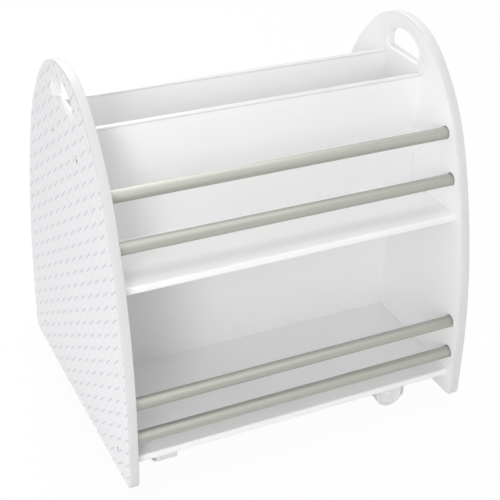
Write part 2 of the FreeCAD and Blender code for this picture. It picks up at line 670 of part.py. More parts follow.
def make_prism(sides, diameter, length, foot="0"):
    """A straight bar along +Z with a regular polygon's section, from a foot's height up."""
    prism = doc.addObject("Part::Prism", "Prism")
    prism.Polygon = sides
    bind(prism, "Circumradius", f"{diameter} / 2")
    bind(prism, "Height", length)
    bind(prism, "Placement.Base.z", foot)
    return prism


def make_dowel(across, along, up, lying):
    """A dowel from a given end, along +X or straight up."""
    dowel = make_prism(PIN_SIDES, "dowel_diameter", "dowel_length")
    if lying:
        dowel.Placement.Rotation = FreeCAD.Rotation(Z_AXIS, X_AXIS)
    place(dowel, across, along, up)
    return dowel


def make_end_dowels(label, distance, height):
    """Dowels between a board's ends and both side panels, at the front and at the back."""
    starts = {"-1": f"-1 * {HALF_WIDTH} - side_dowel_depth",
              "1": f"{HALF_WIDTH} + side_dowel_depth - dowel_length"}
    members = []
    for _, side in LEFT_AND_RIGHT:
        for _, face in FRONT_AND_REAR:
            members.append(make_dowel(starts[side], f"{face} * {distance}", height, lying=True))
    make_group(label, members)


def make_base_dowels():
    """Dowels that stand in the upper shelf and hold the uprights."""
    members = []
    for _, side in LEFT_AND_RIGHT:
        for _, face in FRONT_AND_REAR:
            members.append(make_dowel(f"{side} * base_dowel_spread / 2", f"{face} * {UPRIGHT_MIDDLE}",
                                      f"{UPPER_SHELF_TOP} - base_dowel_depth", lying=False))
    make_group("upright_base_dowels", members)


def join(kind, first, second):
    """A boolean of two objects: Part::Fuse or Part::Cut."""
    result = doc.addObject(kind, "Join")
    result.Base = first
    result.Tool = second
    return result


def make_panel_screw():
    """A connecting screw along +Z, from its head's top: low head, hexagon socket, plain shank."""
    head = make_prism(HEAD_SIDES, "screw_head_diameter", "screw_head_height")
    shank = make_prism(PIN_SIDES, "screw_diameter", "screw_length - screw_head_height", "screw_head_height")
    socket = make_prism(6, "hex_size", "hex_depth")
    return join("Part::Cut", join("Part::Fuse", head, shank), socket)


def make_panel_screws(label, distance, height):
    """Screws from the outer faces of the side panels into the ends of the boards."""
    members = []
    for _, side in LEFT_AND_RIGHT:
        for _, face in FRONT_AND_REAR:
            screw = make_panel_screw()
            screw.Placement.Rotation = FreeCAD.Rotation(Z_AXIS, FreeCAD.Vector(-float(side), 0, 0))
            place(screw, f"{side} * ({HALF_WIDTH} + panel_thickness - head_sink)",
                  f"{face} * {distance}", height)
            members.append(screw)
    make_group(label, members)


def make_castor_screws():
    """Four screws through each castor plate, up into the lower shelf."""
    members = []
    for _, side in LEFT_AND_RIGHT:
        for _, face in FRONT_AND_REAR:
            for across, along in PLATE_CORNERS:
                head = make_prism(PIN_SIDES, "wood_screw_head_diameter", "wood_screw_head_height")
                shank = make_prism(PIN_SIDES, "wood_screw_diameter", "wood_screw_length",
                                   "wood_screw_head_height")
                screw = join("Part::Fuse", head, shank)
                place(screw, f"{side} * {CASTOR_X} + {across}", f"{face} * {CASTOR_Y} + {along}",
                      "castor_height - plate_thickness - wood_screw_head_height")
                members.append(screw)
    make_group("castor_screws", members)


# ---- castors ----
# Each castor is drawn with its swivel axis on Z and its wheels trailing towards +X,
# then turned to its heading and moved to its corner.

WELL_RADIUS = "(wheel_diameter / 2 + hood_clearance)"
HOOD_RADIUS = f"({WELL_RADIUS} + hood_wall)"
AXLE_Z = "wheel_diameter / 2"
HALF_HOOD = "(hood_web / 2 + wheel_side_gap + wheel_width)"
HOOD_TOP = "(castor_height - plate_thickness - swivel_gap)"


def make_castor_plate(name, spot):
    plate = new_body(f"{name}_castor_plate")
    outline = new_sketch(plate, "XY_Plane", out="castor_height - plate_thickness")
    half = "plate_size / 2"
    add_rectangle(outline, f"-1 * {half}", half, f"-1 * {half}", half)
    add_pad(plate, outline, "plate_thickness")
    doc.recompute()
    add_fillet(plate, long_edges(plate, Z_AXIS), "plate_corner_radius")
    holes = new_sketch(plate, "XY_Plane", out="castor_height")
    for across, along in PLATE_CORNERS:
        add_polygon(holes, PIN_SIDES, "plate_hole_diameter", across, along)
    add_circle(holes, "pin_diameter")
    add_pocket(plate, holes, "plate_thickness")
    place(plate, *spot[:2], "0", spot[2])


def make_castor_pins():
    """The pins that the hoods turn on, riveted flush into the plates."""
    members = []
    for _, face in FRONT_AND_REAR:
        for _, side in LEFT_AND_RIGHT:
            pin = doc.addObject("Part::Cylinder", "Pin")
            bind(pin, "Radius", "pin_diameter / 2")
            bind(pin, "Height", "pin_depth + swivel_gap + plate_thickness")
            place(pin, f"{side} * {CASTOR_X}", f"{face} * {CASTOR_Y}", f"{HOOD_TOP} - pin_depth")
            members.append(pin)
    make_group("castor_pins", members)


def make_castor_hood(name, spot):
    """A moulded cover over both wheels, with a middle wall that holds the axle and the pin."""
    hood = new_body(f"{name}_castor_hood")
    # a sector about the axle, from behind the wheels over the top to the front
    sector = new_sketch(hood, "XZ_Plane", across="castor_trail", up=AXLE_Z)
    radius = size("wheel_diameter") / 2 + size("hood_clearance") + size("hood_wall")
    rear = size("hood_rear_angle")
    front = 180 + size("hood_front_angle")
    rear_tip = (radius * math.cos(math.radians(rear)), radius * math.sin(math.radians(rear)))
    front_tip = (radius * math.cos(math.radians(front)), radius * math.sin(math.radians(front)))
    rear_edge = add_line(sector, (0, 0), rear_tip)
    cover = add_arc(sector, 0, 0, radius, rear, front)
    front_edge = add_line(sector, front_tip, (0, 0))
    sector.addConstraint(Sketcher.Constraint("Coincident", cover, CENTRE, ORIGIN, START))
    sector.addConstraint(Sketcher.Constraint("Coincident", rear_edge, START, ORIGIN, START))
    sector.addConstraint(Sketcher.Constraint("Coincident", rear_edge, END, cover, START))
    sector.addConstraint(Sketcher.Constraint("Coincident", front_edge, START, cover, END))
    sector.addConstraint(Sketcher.Constraint("Coincident", front_edge, END, ORIGIN, START))
    constrain(sector, HOOD_RADIUS, "Radius", cover)
    constrain(sector, "(180 + hood_front_angle - hood_rear_angle) * 1 deg", "Angle", cover)
    constrain(sector, "hood_rear_angle * 1 deg", "Angle", rear_edge)
    add_pad(hood, sector, f"2 * {HALF_HOOD}", symmetric=True)
    doc.recompute()
    boss = new_sketch(hood, "XY_Plane", out=f"{HOOD_TOP} - swivel_boss_height")
    add_circle(boss, "swivel_boss_diameter")
    add_pad(hood, boss, "swivel_boss_height")
    doc.recompute()
    # the middle wall closes round the axle
    axle_boss = new_sketch(hood, "XZ_Plane", across="castor_trail", up=AXLE_Z)
    add_circle(axle_boss, "axle_boss_diameter")
    add_pad(hood, axle_boss, "hood_web", symmetric=True)
    doc.recompute()
    # a well for each wheel, open to its own side
    for shift, outwards in (("1", True), ("-1", False)):
        well = new_sketch(hood, "XZ_Plane", across="castor_trail", up=AXLE_Z,
                          out=f"{shift} * hood_web / 2")
        add_circle(well, f"2 * {WELL_RADIUS}")
        add_pocket(hood, well, f"{HALF_HOOD} - hood_web / 2 + hood_wall", along_normal=outwards)
    bore = new_sketch(hood, "XY_Plane", out=HOOD_TOP)
    add_circle(bore, "pin_diameter + 2 * pin_gap")
    add_pocket(hood, bore, "pin_depth + pin_end_gap")
    axle_hole = new_sketch(hood, "XZ_Plane", across="castor_trail", up=AXLE_Z)
    add_circle(axle_hole, "axle_diameter")
    add_pocket(hood, axle_hole, "through")
    place(hood, *spot[:2], "0", spot[2])


def make_castor_axle(name, spot):
    axle = new_body(f"{name}_castor_axle")
    end = new_sketch(axle, "XZ_Plane", across="castor_trail", up=AXLE_Z)
    add_circle(end, "axle_diameter")
    add_pad(axle, end, "hood_web + 2 * (wheel_side_gap + axle_depth)", symmetric=True)
    place(axle, *spot[:2], "0", spot[2])


def make_castor_wheel(name, which, outwards, spot):
    """A plain wheel beside the hood's middle wall, with a blind bore for the axle."""
    wheel = new_body(f"{name}_castor_wheel_{which}")
    inner = f"{'1' if outwards else '-1'} * (hood_web / 2 + wheel_side_gap)"
    tread = new_sketch(wheel, "XZ_Plane", across="castor_trail", up=AXLE_Z, out=inner)
    add_circle(tread, "wheel_diameter")
    disc = add_pad(wheel, tread, "wheel_width")
    disc.Reversed = not outwards
    doc.recompute()
    bore = new_sketch(wheel, "XZ_Plane", across="castor_trail", up=AXLE_Z, out=inner)
    add_circle(bore, "axle_diameter + 2 * axle_gap")
    add_pocket(wheel, bore, "axle_depth + axle_end_gap", along_normal=outwards)
    place(wheel, *spot[:2], "0", spot[2])


def make_castor(name, side, face, heading):
    """Left and right wheels are named as seen along the castor's rolling direction."""
    spot = (f"{side} * {CASTOR_X}", f"{face} * {CASTOR_Y}", heading)
    make_castor_plate(name, spot)
    make_castor_hood(name, spot)
    make_castor_axle(name, spot)
    make_castor_wheel(name, "left", True, spot)
    make_castor_wheel(name, "right", False, spot)


# ---- the bookcase ----

for side_name, side in LEFT_AND_RIGHT:
    make_side_panel(side_name, side)
make_upper_shelf()
make_lower_shelf()
for face_name, face in FRONT_AND_REAR:
    make_upright(face_name, face)
make_divider()
for face_name, face in FRONT_AND_REAR:
    for rail_name, height, distance in RAILS:
        make_rail(face_name, face, rail_name, height, distance)
make_end_dowels("upper_shelf_dowels", "shelf_dowel_spread / 2", UPPER_SHELF_MIDDLE)
make_end_dowels("upright_end_dowels", UPRIGHT_MIDDLE, UPRIGHT_DOWEL_Z)
make_base_dowels()
make_panel_screws("upright_screws", UPRIGHT_MIDDLE, UPRIGHT_SCREW_Z)
make_panel_screws("lower_shelf_screws", SHELF_SCREW_Y, LOWER_SHELF_MIDDLE)
make_castor_screws()
make_castor_pins()
# the left castors trail to the back, the right ones to the left
CASTOR_HEADINGS = {"left": 90, "right": 180}
for face_name, face in FRONT_AND_REAR:
    for side_name, side in LEFT_AND_RIGHT:
        make_castor(f"{face_name}_{side_name}", side, face, CASTOR_HEADINGS[side_name])

doc.recompute()
for item in doc.Objects:
    if "Invalid" in item.State or "Error" in item.State:
        raise RuntimeError(f"{item.Label} failed: {item.State}")
for item in nodes:
    if item.Shape.isNull() or not item.Shape.isValid():
        raise RuntimeError(f"{item.Label} has no valid shape")

os.makedirs("parts", exist_ok=True)
for item in nodes:
    item.Shape.exportStep(f"parts/{item.Label}.step")
print(f"{len(nodes)} sub-parts, {sum(len(item.Shape.Solids) for item in nodes)} solids")
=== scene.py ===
import bmesh
import bpy
import numpy as np
from mathutils import Matrix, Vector
from mathutils.geometry import tessellate_polygon


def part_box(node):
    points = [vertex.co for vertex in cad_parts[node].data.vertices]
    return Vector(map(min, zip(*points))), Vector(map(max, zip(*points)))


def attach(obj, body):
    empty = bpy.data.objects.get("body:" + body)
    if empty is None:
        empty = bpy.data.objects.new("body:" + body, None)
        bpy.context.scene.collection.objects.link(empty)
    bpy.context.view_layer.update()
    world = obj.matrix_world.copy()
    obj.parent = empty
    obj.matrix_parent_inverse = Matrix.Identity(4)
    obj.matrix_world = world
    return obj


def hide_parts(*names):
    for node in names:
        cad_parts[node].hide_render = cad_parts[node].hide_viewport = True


# Detailed shapes and finishes for the bookcase, laid over its frame, and a plain white studio.
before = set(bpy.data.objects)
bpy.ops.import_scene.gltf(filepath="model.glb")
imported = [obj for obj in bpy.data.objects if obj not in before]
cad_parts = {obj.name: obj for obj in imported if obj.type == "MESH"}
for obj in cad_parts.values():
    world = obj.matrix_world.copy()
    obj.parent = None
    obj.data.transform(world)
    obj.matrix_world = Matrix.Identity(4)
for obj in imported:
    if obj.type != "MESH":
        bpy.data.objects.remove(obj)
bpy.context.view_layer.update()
print("frame loaded")

# Shapes are worked out in millimetres, in the bookcase's own frame, and stored in metres.
metre = 0.001
xAxis = np.array((1.0, 0.0, 0.0))
yAxis = np.array((0.0, 1.0, 0.0))
zAxis = np.array((0.0, 0.0, 1.0))
meshing = {
    "sameSpot": 1e-5,  # millimetres: neighbours in an outline that are closer count as one point
    "weld": 1e-6,  # metres: points of a finished mesh that are closer are joined
    "sharpAngle": 38,  # degrees between two faces above which their edge stays sharp
    "slack": 0.01,  # millimetres: a face that starts this little below a level counts as above it
}


def arc(centre, radius, first, last, count):
    # centre plus radius times (cosine, sine), at equal steps of the angle in degrees
    turn = np.radians(np.linspace(first, last, count))
    return np.asarray(centre, float) + radius * np.column_stack((np.cos(turn), np.sin(turn)))


def closed(*parts):
    # one closed line from several, without the points that two of them share
    points = np.vstack(parts)
    step = np.linalg.norm(points - np.roll(points, 1, axis=0), axis=1)
    return points[step > meshing["sameSpot"]]


def circle(centre, radius, sides):
    return arc(centre, radius, 0, 360, sides + 1)[:-1]


def clockwise(loop):
    return loop[::-1]


def roundHole(centre, radius, sides):
    return clockwise(circle(centre, radius, sides))


def mirrored(right):
    # the left half of an outline, from its right half, so that the loop runs on
    return (right * (-1, 1))[::-1]


def roundedBox(left, right, low, high, radius, count):
    # a rectangle whose corners are quarter circles of so many points
    return closed(arc((right - radius, low + radius), radius, 270, 360, count),
                  arc((right - radius, high - radius), radius, 0, 90, count),
                  arc((left + radius, high - radius), radius, 90, 180, count),
                  arc((left + radius, low + radius), radius, 180, 270, count))


def stepOut(loop):
    # where a point goes when both edges beside it step out by one: (n1 + n2) / (1 + n1 . n2)
    edge = np.roll(loop, -1, axis=0) - loop
    normal = np.column_stack((edge[:, 1], -edge[:, 0])) / np.linalg.norm(edge, axis=1)[:, None]
    before = np.roll(normal, 1, axis=0)
    return (before + normal) / (1 + np.sum(before * normal, axis=1))[:, None]


# Rows are pairs of an inset from a loop and a height. One more row just inside each face, by the
# amount called holding, keeps the flat part's shading flat.

def quarterRows(rounding, count):
    # from a lower face round to the side: rounding times (1 - sine, 1 - cosine)
    turn = np.radians(np.linspace(0, 90, count))
    return rounding * (1 - np.column_stack((np.sin(turn), np.cos(turn))))


def upperRows(rounding, high, holding, count):
    # from the side round to the upper face, which is the quarter above turned over
    quarter = (quarterRows(rounding, count) * (1, -1) + (0, high))[::-1]
    return np.vstack((quarter, [(rounding + holding, high)]))


def edgeRows(rounding, low, high, between=0, holding=0.5, count=6):
    # from the lower face to the upper one, with rows between the two quarters where they are asked for
    lower = quarterRows(rounding, count) + (0, low)
    upper = upperRows(rounding, high, holding, count)
    middle = np.linspace(lower[-1], upper[0], between + 2)[1:-1]
    return np.vstack([(rounding + holding, low), lower, middle, upper])


def holeRows(rounding, floor, face, holding=0.3, count=4):
    # a blind hole's rows in order of height, between its floor and the face that it opens in
    rows = np.vstack([(rounding + holding, 0), quarterRows(rounding, count), (0, abs(face - floor))])
    if face > floor:
        return (rows * (1, -1) + (0, face))[::-1]
    return rows + (0, face)


def blindHoles(spots, hole, face, direction):
    # round holes of one kind, each as its loop and its rows; direction is +1 or -1 along the height,
    # the way that they go into the board
    rows = holeRows(hole["lip"], face + direction * hole["depth"], face)
    return [(roundHole(spot, hole["radius"], hole["sides"]), rows) for spot in spots]


# A surface is a pair: its points, and its faces as lists of point numbers with a finish each.

def bandFaces(rows, count, start):
    # quads between neighbouring rows of a ring-shaped grid: point i of row j is start + j * count + i
    j, i = np.mgrid[0:rows - 1, 0:count]
    following = (i + 1) % count
    quads = np.stack((j * count + i, j * count + following,
                      (j + 1) * count + following, (j + 1) * count + i), axis=-1)
    return start + quads.reshape(-1, 4)


def capFaces(points, loops, upwards):
    # triangles of a flat face with holes, all turned over where their summed area looks the wrong way
    numbers = np.concatenate(loops)
    corners = np.array(tessellate_polygon([[(*points[number], 0) for number in loop] for loop in loops]))
    a, b, c = (points[numbers[corners[:, k]]] for k in range(3))
    area = (b[:, 0] - a[:, 0]) * (c[:, 1] - a[:, 1]) - (b[:, 1] - a[:, 1]) * (c[:, 0] - a[:, 0])
    if (area.sum() > 0) != upwards:
        corners = corners[:, ::-1]
    return numbers[corners]


def slab(outline, rows, through=(), fromTop=(), fromBottom=(), finishes=(0, 0, 0, 0)):
    # A flat body: each loop is carried up its rows as loop minus inset times stepOut, and the open
    # faces are filled. Holes are pairs of a loop and its rows. Material lies to the left of every
    # loop, so holes run clockwise.
    # finishes are those of the lower face, the outline's edge, the upper face and the holes.
    lowerFinish, edgeFinish, upperFinish, holeFinish = finishes
    walls = [(outline, rows, True, True, edgeFinish)]
    walls += [(loop, loopRows, True, True, holeFinish) for loop, loopRows in through]
    walls += [(loop, loopRows, False, True, holeFinish) for loop, loopRows in fromTop]
    walls += [(loop, loopRows, True, False, holeFinish) for loop, loopRows in fromBottom]
    points = []
    faces = []
    lowerLoops = []
    upperLoops = []
    floors = []
    start = 0
    for loop, loopRows, opensBelow, opensAbove, wallFinish in walls:
        count = len(loop)
        flat = loop[None] - loopRows[:, 0, None, None] * stepOut(loop)[None]
        height = np.broadcast_to(loopRows[:, 1, None, None], flat.shape[:2] + (1,))
        points.append(np.concatenate((flat, height), axis=2).reshape(-1, 3))
        finish = np.full(len(loopRows) - 1, wallFinish)
        lowest = start + np.arange(count)
        highest = lowest + (len(loopRows) - 1) * count
        if opensBelow:
            finish[0] = lowerFinish
            lowerLoops.append(lowest)
        else:
            floors.append(([lowest], True, holeFinish))
        if opensAbove:
            finish[-1] = upperFinish
            upperLoops.append(highest)
        else:
            floors.append(([highest], False, holeFinish))
        faces.append((bandFaces(len(loopRows), count, start), np.repeat(finish, count)))
        start += len(points[-1])
    points = np.vstack(points)
    flats = [(lowerLoops, False, lowerFinish), (upperLoops, True, upperFinish)] + floors
    for loops, upwards, finish in flats:
        cap = capFaces(points[:, :2], loops, upwards)
        faces.append((cap, np.full(len(cap), finish)))
    return points, faces


def turned(profile, count, finishes):
    # profile points (radius, height) carried round the vertical axis: (r cos, r sin, h);
    # there is one finish for each stretch of the profile
    turn = np.linspace(0, 2 * np.pi, count, endpoint=False)
    radius, height = profile.T[:, :, None]
    points = np.stack((radius * np.cos(turn), radius * np.sin(turn),
                       np.repeat(height, count, axis=1)), axis=-1).reshape(-1, 3)
    return points, [(bandFaces(len(profile), count, 0), np.repeat(finishes, count))]


def laid(surface, origin, across, up):
    # local axes onto the frame: the first lies across, the second up, the third is their cross product
    points, faces = surface
    axes = np.array((across, up, np.cross(across, up)))
    return np.asarray(origin, float) + points @ axes, faces


def together(*surfaces):
    # several closed surfaces in one mesh
    points = []
    faces = []
    start = 0
    for surface in surfaces:
        points.append(surface[0])
        faces += [(numbers + start, finish) for numbers, finish in surface[1]]
        start += len(surface[0])
    return np.vstack(points), faces


class Finish:
    # a material with its node tree, its object coordinates and its one shader
    def __init__(self, name, tint, roughness, metallic=0.0):
        self.material = bpy.data.materials.new(name)
        self.material.use_nodes = True
        self.tree = self.material.node_tree
        self.shader = self.tree.nodes["Principled BSDF"]
        self.shader.inputs["Base Color"].default_value = (*tint, 1)
        self.shader.inputs["Roughness"].default_value = roughness
        self.shader.inputs["Metallic"].default_value = metallic
        self.place = self.add("ShaderNodeTexCoord").outputs["Object"]

    def add(self, kind, settings=(), **inputs):
        # an input is called by its name, with _ for a space, or by its number, as in i0
        node = self.tree.nodes.new(kind)
        for name, value in dict(settings).items():
            setattr(node, name, value)
        for name, value in inputs.items():
            key = int(name[1:]) if name[1:].isdigit() else name.replace("_", " ")
            if isinstance(value, bpy.types.NodeSocket):
                self.tree.links.new(value, node.inputs[key])
            else:
                node.inputs[key].default_value = value
        return node

    def maths(self, operation, first, second=0.0, third=0.0):
        node = self.add("ShaderNodeMath", {"operation": operation}, i0=first, i1=second, i2=third)
        return node.outputs[0]

    def stretched(self, scale):
        return self.add("ShaderNodeMapping", Vector=self.place, Scale=scale).outputs["Vector"]

    def noise(self, scale, detail, roughness=0.5, place=None):
        # scale counts per metre
        node = self.add("ShaderNodeTexNoise", Vector=place or self.place, Scale=scale,
                        Detail=detail, Roughness=roughness)
        return node.outputs["Fac"]

    def between(self, amount, low, high):
        # a number that runs from low to high as the amount runs over the noise's usual range
        node = self.add("ShaderNodeMapRange", Value=amount, From_Min=0.3, From_Max=0.7,
                        To_Min=low, To_Max=high)
        return node.outputs["Result"]

    def blend(self, amount, first, second):
        node = self.add("ShaderNodeMix", {"data_type": "RGBA"}, i0=amount, i6=(*first, 1), i7=(*second, 1))
        return node.outputs[2]

    def clouded(self, noise, first, second):
        # a colour that drifts from the first to the second
        return self.blend(self.between(noise, 0, 1), first, second)

    def bump(self, height, distance):
        return self.add("ShaderNodeBump", Height=height, Distance=distance, Strength=1.0).outputs["Normal"]

    def use(self, **sockets):
        for name, value in sockets.items():
            self.tree.links.new(value, self.shader.inputs[name.replace("_", " ")])


lacquer = {
    "tints": {  # the two ends of a very soft, broad variation
        "whiteLacquer": ((0.895, 0.895, 0.9), (0.91, 0.91, 0.91)),
        "paintedShadeEdge": ((0.68, 0.68, 0.685), (0.70, 0.70, 0.70)),  # painted shade: a greyer lacquer on the panels' edges and the uprights' tops, darker than the faces for the light they get
    },
    "cloud": 7,
    "roughness": 0.42,
    "sheen": 45,  # the pattern in which the roughness varies, and how far
    "sheenRange": (0.38, 0.47),
    "peel": 420,  # the fine unevenness that a sprayed coat dries with
    "peelDepth": 0.00003,
}


def lacquerFinish(name):
    # satin lacquer on board
    first, second = lacquer["tints"][name]
    finish = Finish(name, first, lacquer["roughness"])
    finish.use(Base_Color=finish.clouded(finish.noise(lacquer["cloud"], detail=2), first, second),
               Roughness=finish.between(finish.noise(lacquer["sheen"], detail=3), *lacquer["sheenRange"]),
               Normal=finish.bump(finish.noise(lacquer["peel"], detail=2), lacquer["peelDepth"]))
    return finish.material


zigzag = {
    "wave": 0.0376,  # metres from crest to crest
    "swing": 0.0185,  # crest to trough
    "pitch": 0.0242,  # row to row
    "line": 0.0025,  # width of the drawn line
    "soft": 0.0007,  # how far its edge fades
    "acrossShift": 0.0060,
    "upShift": 0.0075,
    "wavesBefore": 10,  # whole waves and rows that are added to both coordinates, so that
    "rowsBefore": 4,  # no remainder is taken of a negative number
    "ground": (0.905, 0.895, 0.915),
    "ink": (0.65, 0.615, 0.695),
    "falling": 0.42,  # how much of the ink the falling strokes carry
    "wear": 160,  # the pattern in which the ink is thinner, and how much of it is left
    "wearRange": (0.82, 1.0),
    "roughness": 0.45,
    "sheen": 60,
    "sheenRange": (0.42, 0.5),
    "grain": 900,
    "depth": 0.00002,
}


def zigzagFinish():
    # rows of zigzag lines: row(y, z) is z minus the fold of y, and a line lies where it is a whole
    # number of pitches; the distance to it is measured square to the stroke, hence the cosine
    s = zigzag
    finish = Finish("zigzagPrint", s["ground"], s["roughness"])
    along = finish.add("ShaderNodeSeparateXYZ", Vector=finish.place).outputs
    across = finish.maths("ADD", along["Y"], s["wavesBefore"] * s["wave"] + s["acrossShift"])
    fold = finish.maths("PINGPONG", across, s["wave"] / 2)
    height = finish.maths("MULTIPLY", fold, 2 * s["swing"] / s["wave"])
    row = finish.maths("ADD", finish.maths("SUBTRACT", along["Z"], height),
                       s["rowsBefore"] * s["pitch"] + s["upShift"])
    gap = finish.maths("PINGPONG", row, s["pitch"] / 2)
    slope = np.arctan(2 * s["swing"] / s["wave"])
    distance = finish.maths("MULTIPLY", gap, float(np.cos(slope)))
    half = s["line"] / 2
    line = finish.add("ShaderNodeMapRange", {"interpolation_type": "SMOOTHSTEP"}, Value=distance,
                      From_Min=half - s["soft"], From_Max=half + s["soft"],
                      To_Min=1.0, To_Max=0.0).outputs["Result"]
    phase = finish.maths("MODULO", across, s["wave"])
    falls = finish.maths("LESS_THAN", phase, s["wave"] / 2)
    stroke = finish.maths("MULTIPLY_ADD", falls, s["falling"] - 1, 1.0)
    worn = finish.between(finish.noise(s["wear"], detail=3), *s["wearRange"])
    ink = finish.maths("MULTIPLY", line, finish.maths("MULTIPLY", worn, stroke))
    relief = finish.maths("SUBTRACT", finish.noise(s["grain"], detail=2), ink)
    finish.use(Base_Color=finish.blend(ink, s["ground"], s["ink"]),
               Roughness=finish.between(finish.noise(s["sheen"], detail=2), *s["sheenRange"]),
               Normal=finish.bump(relief, s["depth"]))
    return finish.material


# tint is the lighter colour, and the darker one is the share of it called dark; grain is the scale
# of the pattern along X, Y and Z, so the rails' fine lines run along X
metals = {
    "railMetal": {"tint": (0.49, 0.495, 0.45), "dark": 0.82, "roughness": 0.55, "metallic": 0.8,
                  "grain": (2, 350, 350)},
    "yellowZinc": {"tint": (0.80, 0.76, 0.60), "dark": 0.93, "roughness": 0.36, "metallic": 1.0,
                   "grain": (300, 300, 300)},
    # painted shade: the screws' hex sockets are coloured near black for the shade that fills them
    "paintedShadeSocket": {"tint": (0.10, 0.09, 0.07), "dark": 0.93, "roughness": 0.55, "metallic": 1.0,
                   "grain": (300, 300, 300)},
    "brightZinc": {"tint": (0.62, 0.63, 0.65), "dark": 0.93, "roughness": 0.32, "metallic": 1.0,
                   "grain": (250, 250, 250)},
    "pinSteel": {"tint": (0.55, 0.55, 0.56), "dark": 0.93, "roughness": 0.28, "metallic": 1.0,
                 "grain": (400, 400, 400)},
}
metalLines = {"depth": 0.00001, "shinier": 0.04, "duller": 0.05}


def metalFinish(name):
    settings = metals[name]
    tint = settings["tint"]
    dull = settings["roughness"]
    finish = Finish(name, tint, dull, settings["metallic"])
    lines = finish.noise(1.0, detail=3, place=finish.stretched(settings["grain"]))
    low = tuple(settings["dark"] * part for part in tint)
    finish.use(Base_Color=finish.clouded(lines, low, tint),
               Roughness=finish.between(lines, dull - metalLines["shinier"], dull + metalLines["duller"]),
               Normal=finish.bump(lines, metalLines["depth"]))
    return finish.material


plastics = {
    "hoodPlastic": {"tint": (0.88, 0.88, 0.88), "roughness": 0.42},
    "wheelPlastic": {"tint": (0.84, 0.84, 0.84), "roughness": 0.40},
    "treadPlastic": {"tint": (0.78, 0.78, 0.785), "roughness": 0.55},
}
mouldedSkin = {"cloud": 90, "dark": 0.95, "sheen": 200, "shinier": 0.05, "duller": 0.06,
               "grain": 1500, "depth": 0.00003}


def plasticFinish(name):
    # moulded plastic with a fine matt grain
    skin = mouldedSkin
    tint = plastics[name]["tint"]
    dull = plastics[name]["roughness"]
    finish = Finish(name, tint, dull)
    low = tuple(skin["dark"] * part for part in tint)
    finish.use(Base_Color=finish.clouded(finish.noise(skin["cloud"], detail=2), low, tint),
               Roughness=finish.between(finish.noise(skin["sheen"], detail=2), dull - skin["shinier"],
                                        dull + skin["duller"]),
               Normal=finish.bump(finish.noise(skin["grain"], detail=2), skin["depth"]))
    return finish.material


beech = {
    "tint": (0.62, 0.44, 0.27),
    "fleck": (0.50, 0.33, 0.19),
    "light": (0.68, 0.49, 0.31),
    "roughness": 0.6,
    "grain": (60, 700, 700),  # the flecks' stretch, longest along X
    "depth": 0.0001,
}


def beechFinish():
    # beech with darker flecks along the grain
    finish = Finish("beechDowel", beech["tint"], beech["roughness"])
    flecks = finish.noise(1.0, detail=4, roughness=0.6, place=finish.stretched(beech["grain"]))
    finish.use(Base_Color=finish.clouded(flecks, beech["fleck"], beech["light"]),
               Normal=finish.bump(flecks, beech["depth"]))
    return finish.material


looks = {name: lacquerFinish(name) for name in lacquer["tints"]}
looks["zigzagPrint"] = zigzagFinish()
looks.update({name: metalFinish(name) for name in metals})
looks.update({name: plasticFinish(name) for name in plastics})
looks["beechDowel"] = beechFinish()
print("finishes made")


def makePiece(name, surface, body, lookNames, replaced):
    points, faces = surface
    numbers = [face for block, finish in faces for face in block.tolist()]
    finishes = np.concatenate([finish for block, finish in faces])
    mesh = bpy.data.meshes.new(name)
    mesh.from_pydata((points * metre).tolist(), [], numbers)
    for lookName in lookNames:
        mesh.materials.append(looks[lookName])
    mesh.polygons.foreach_set("material_index", finishes.astype(np.int32))
    shell = bmesh.new()
    shell.from_mesh(mesh)
    bmesh.ops.remove_doubles(shell, verts=shell.verts, dist=meshing["weld"])
    bmesh.ops.recalc_face_normals(shell, faces=shell.faces)
    shell.to_mesh(mesh)
    shell.free()
    mesh.shade_smooth()
    mesh.set_sharp_from_angle(angle=np.radians(meshing["sharpAngle"]))
    piece = bpy.data.objects.new(name, mesh)
    bpy.context.scene.collection.objects.link(piece)
    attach(piece, body)
    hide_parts(*replaced)


def inBothHalves(spots):
    return [(side * y, z) for y, z in spots for side in (-1, 1)]


# where the boards are fixed to each side panel: distance from the plane midway between front and
# rear, and height
fixings = {
    "shelfDowel": (140, 358),
    "uprightDowel": (58, 404),
    "uprightScrew": (58, 507.5),
    "shelfScrew": (190.5, 70),
}
sidePanel = {
    "inside": 285,  # from midway between the panels to the inner face of each
    "thickness": 15,
    "bottom": 27,
    "depth": 497,
    "height": 608,
    "footRadius": 15,
    "sideRadius": 1020,
    "sideSweep": 20,  # degrees
    "shoulderRadius": 327,
    "shoulderSweep": 28,
    "edgeRounding": 2.0,
    "points": {"foot": 12, "side": 30, "shoulder": 30, "crown": 40},
}
handSlot = {
    "width": 101,
    "height": 43,
    "drop": 25,  # from the panel's crown to the slot's
    "crownRadius": 70,
    "shoulderRadius": 18,
    "cornerRadius": 6,
    "edgeRounding": 1.6,
    "points": {"corner": 9, "shoulder": 14, "crown": 18},
}
railHole = {"radius": 10.75, "depth": 8, "lip": 0.4, "sides": 64}
railDrop = 0.65  # how far a rail's axis lies below its hole's
railNames = ("top", "second", "third", "bottom")
dowelHole = {"radius": 3.05, "depth": 10.5, "lip": 0.2, "sides": 16}
screwHole = {"radius": 5, "depth": 4.5, "lip": 0.3, "sides": 40}
dividerGroove = {"half": 3.1, "low": 73, "high": 355, "corner": 0.5, "points": 4, "depth": 4, "lip": 0.2}


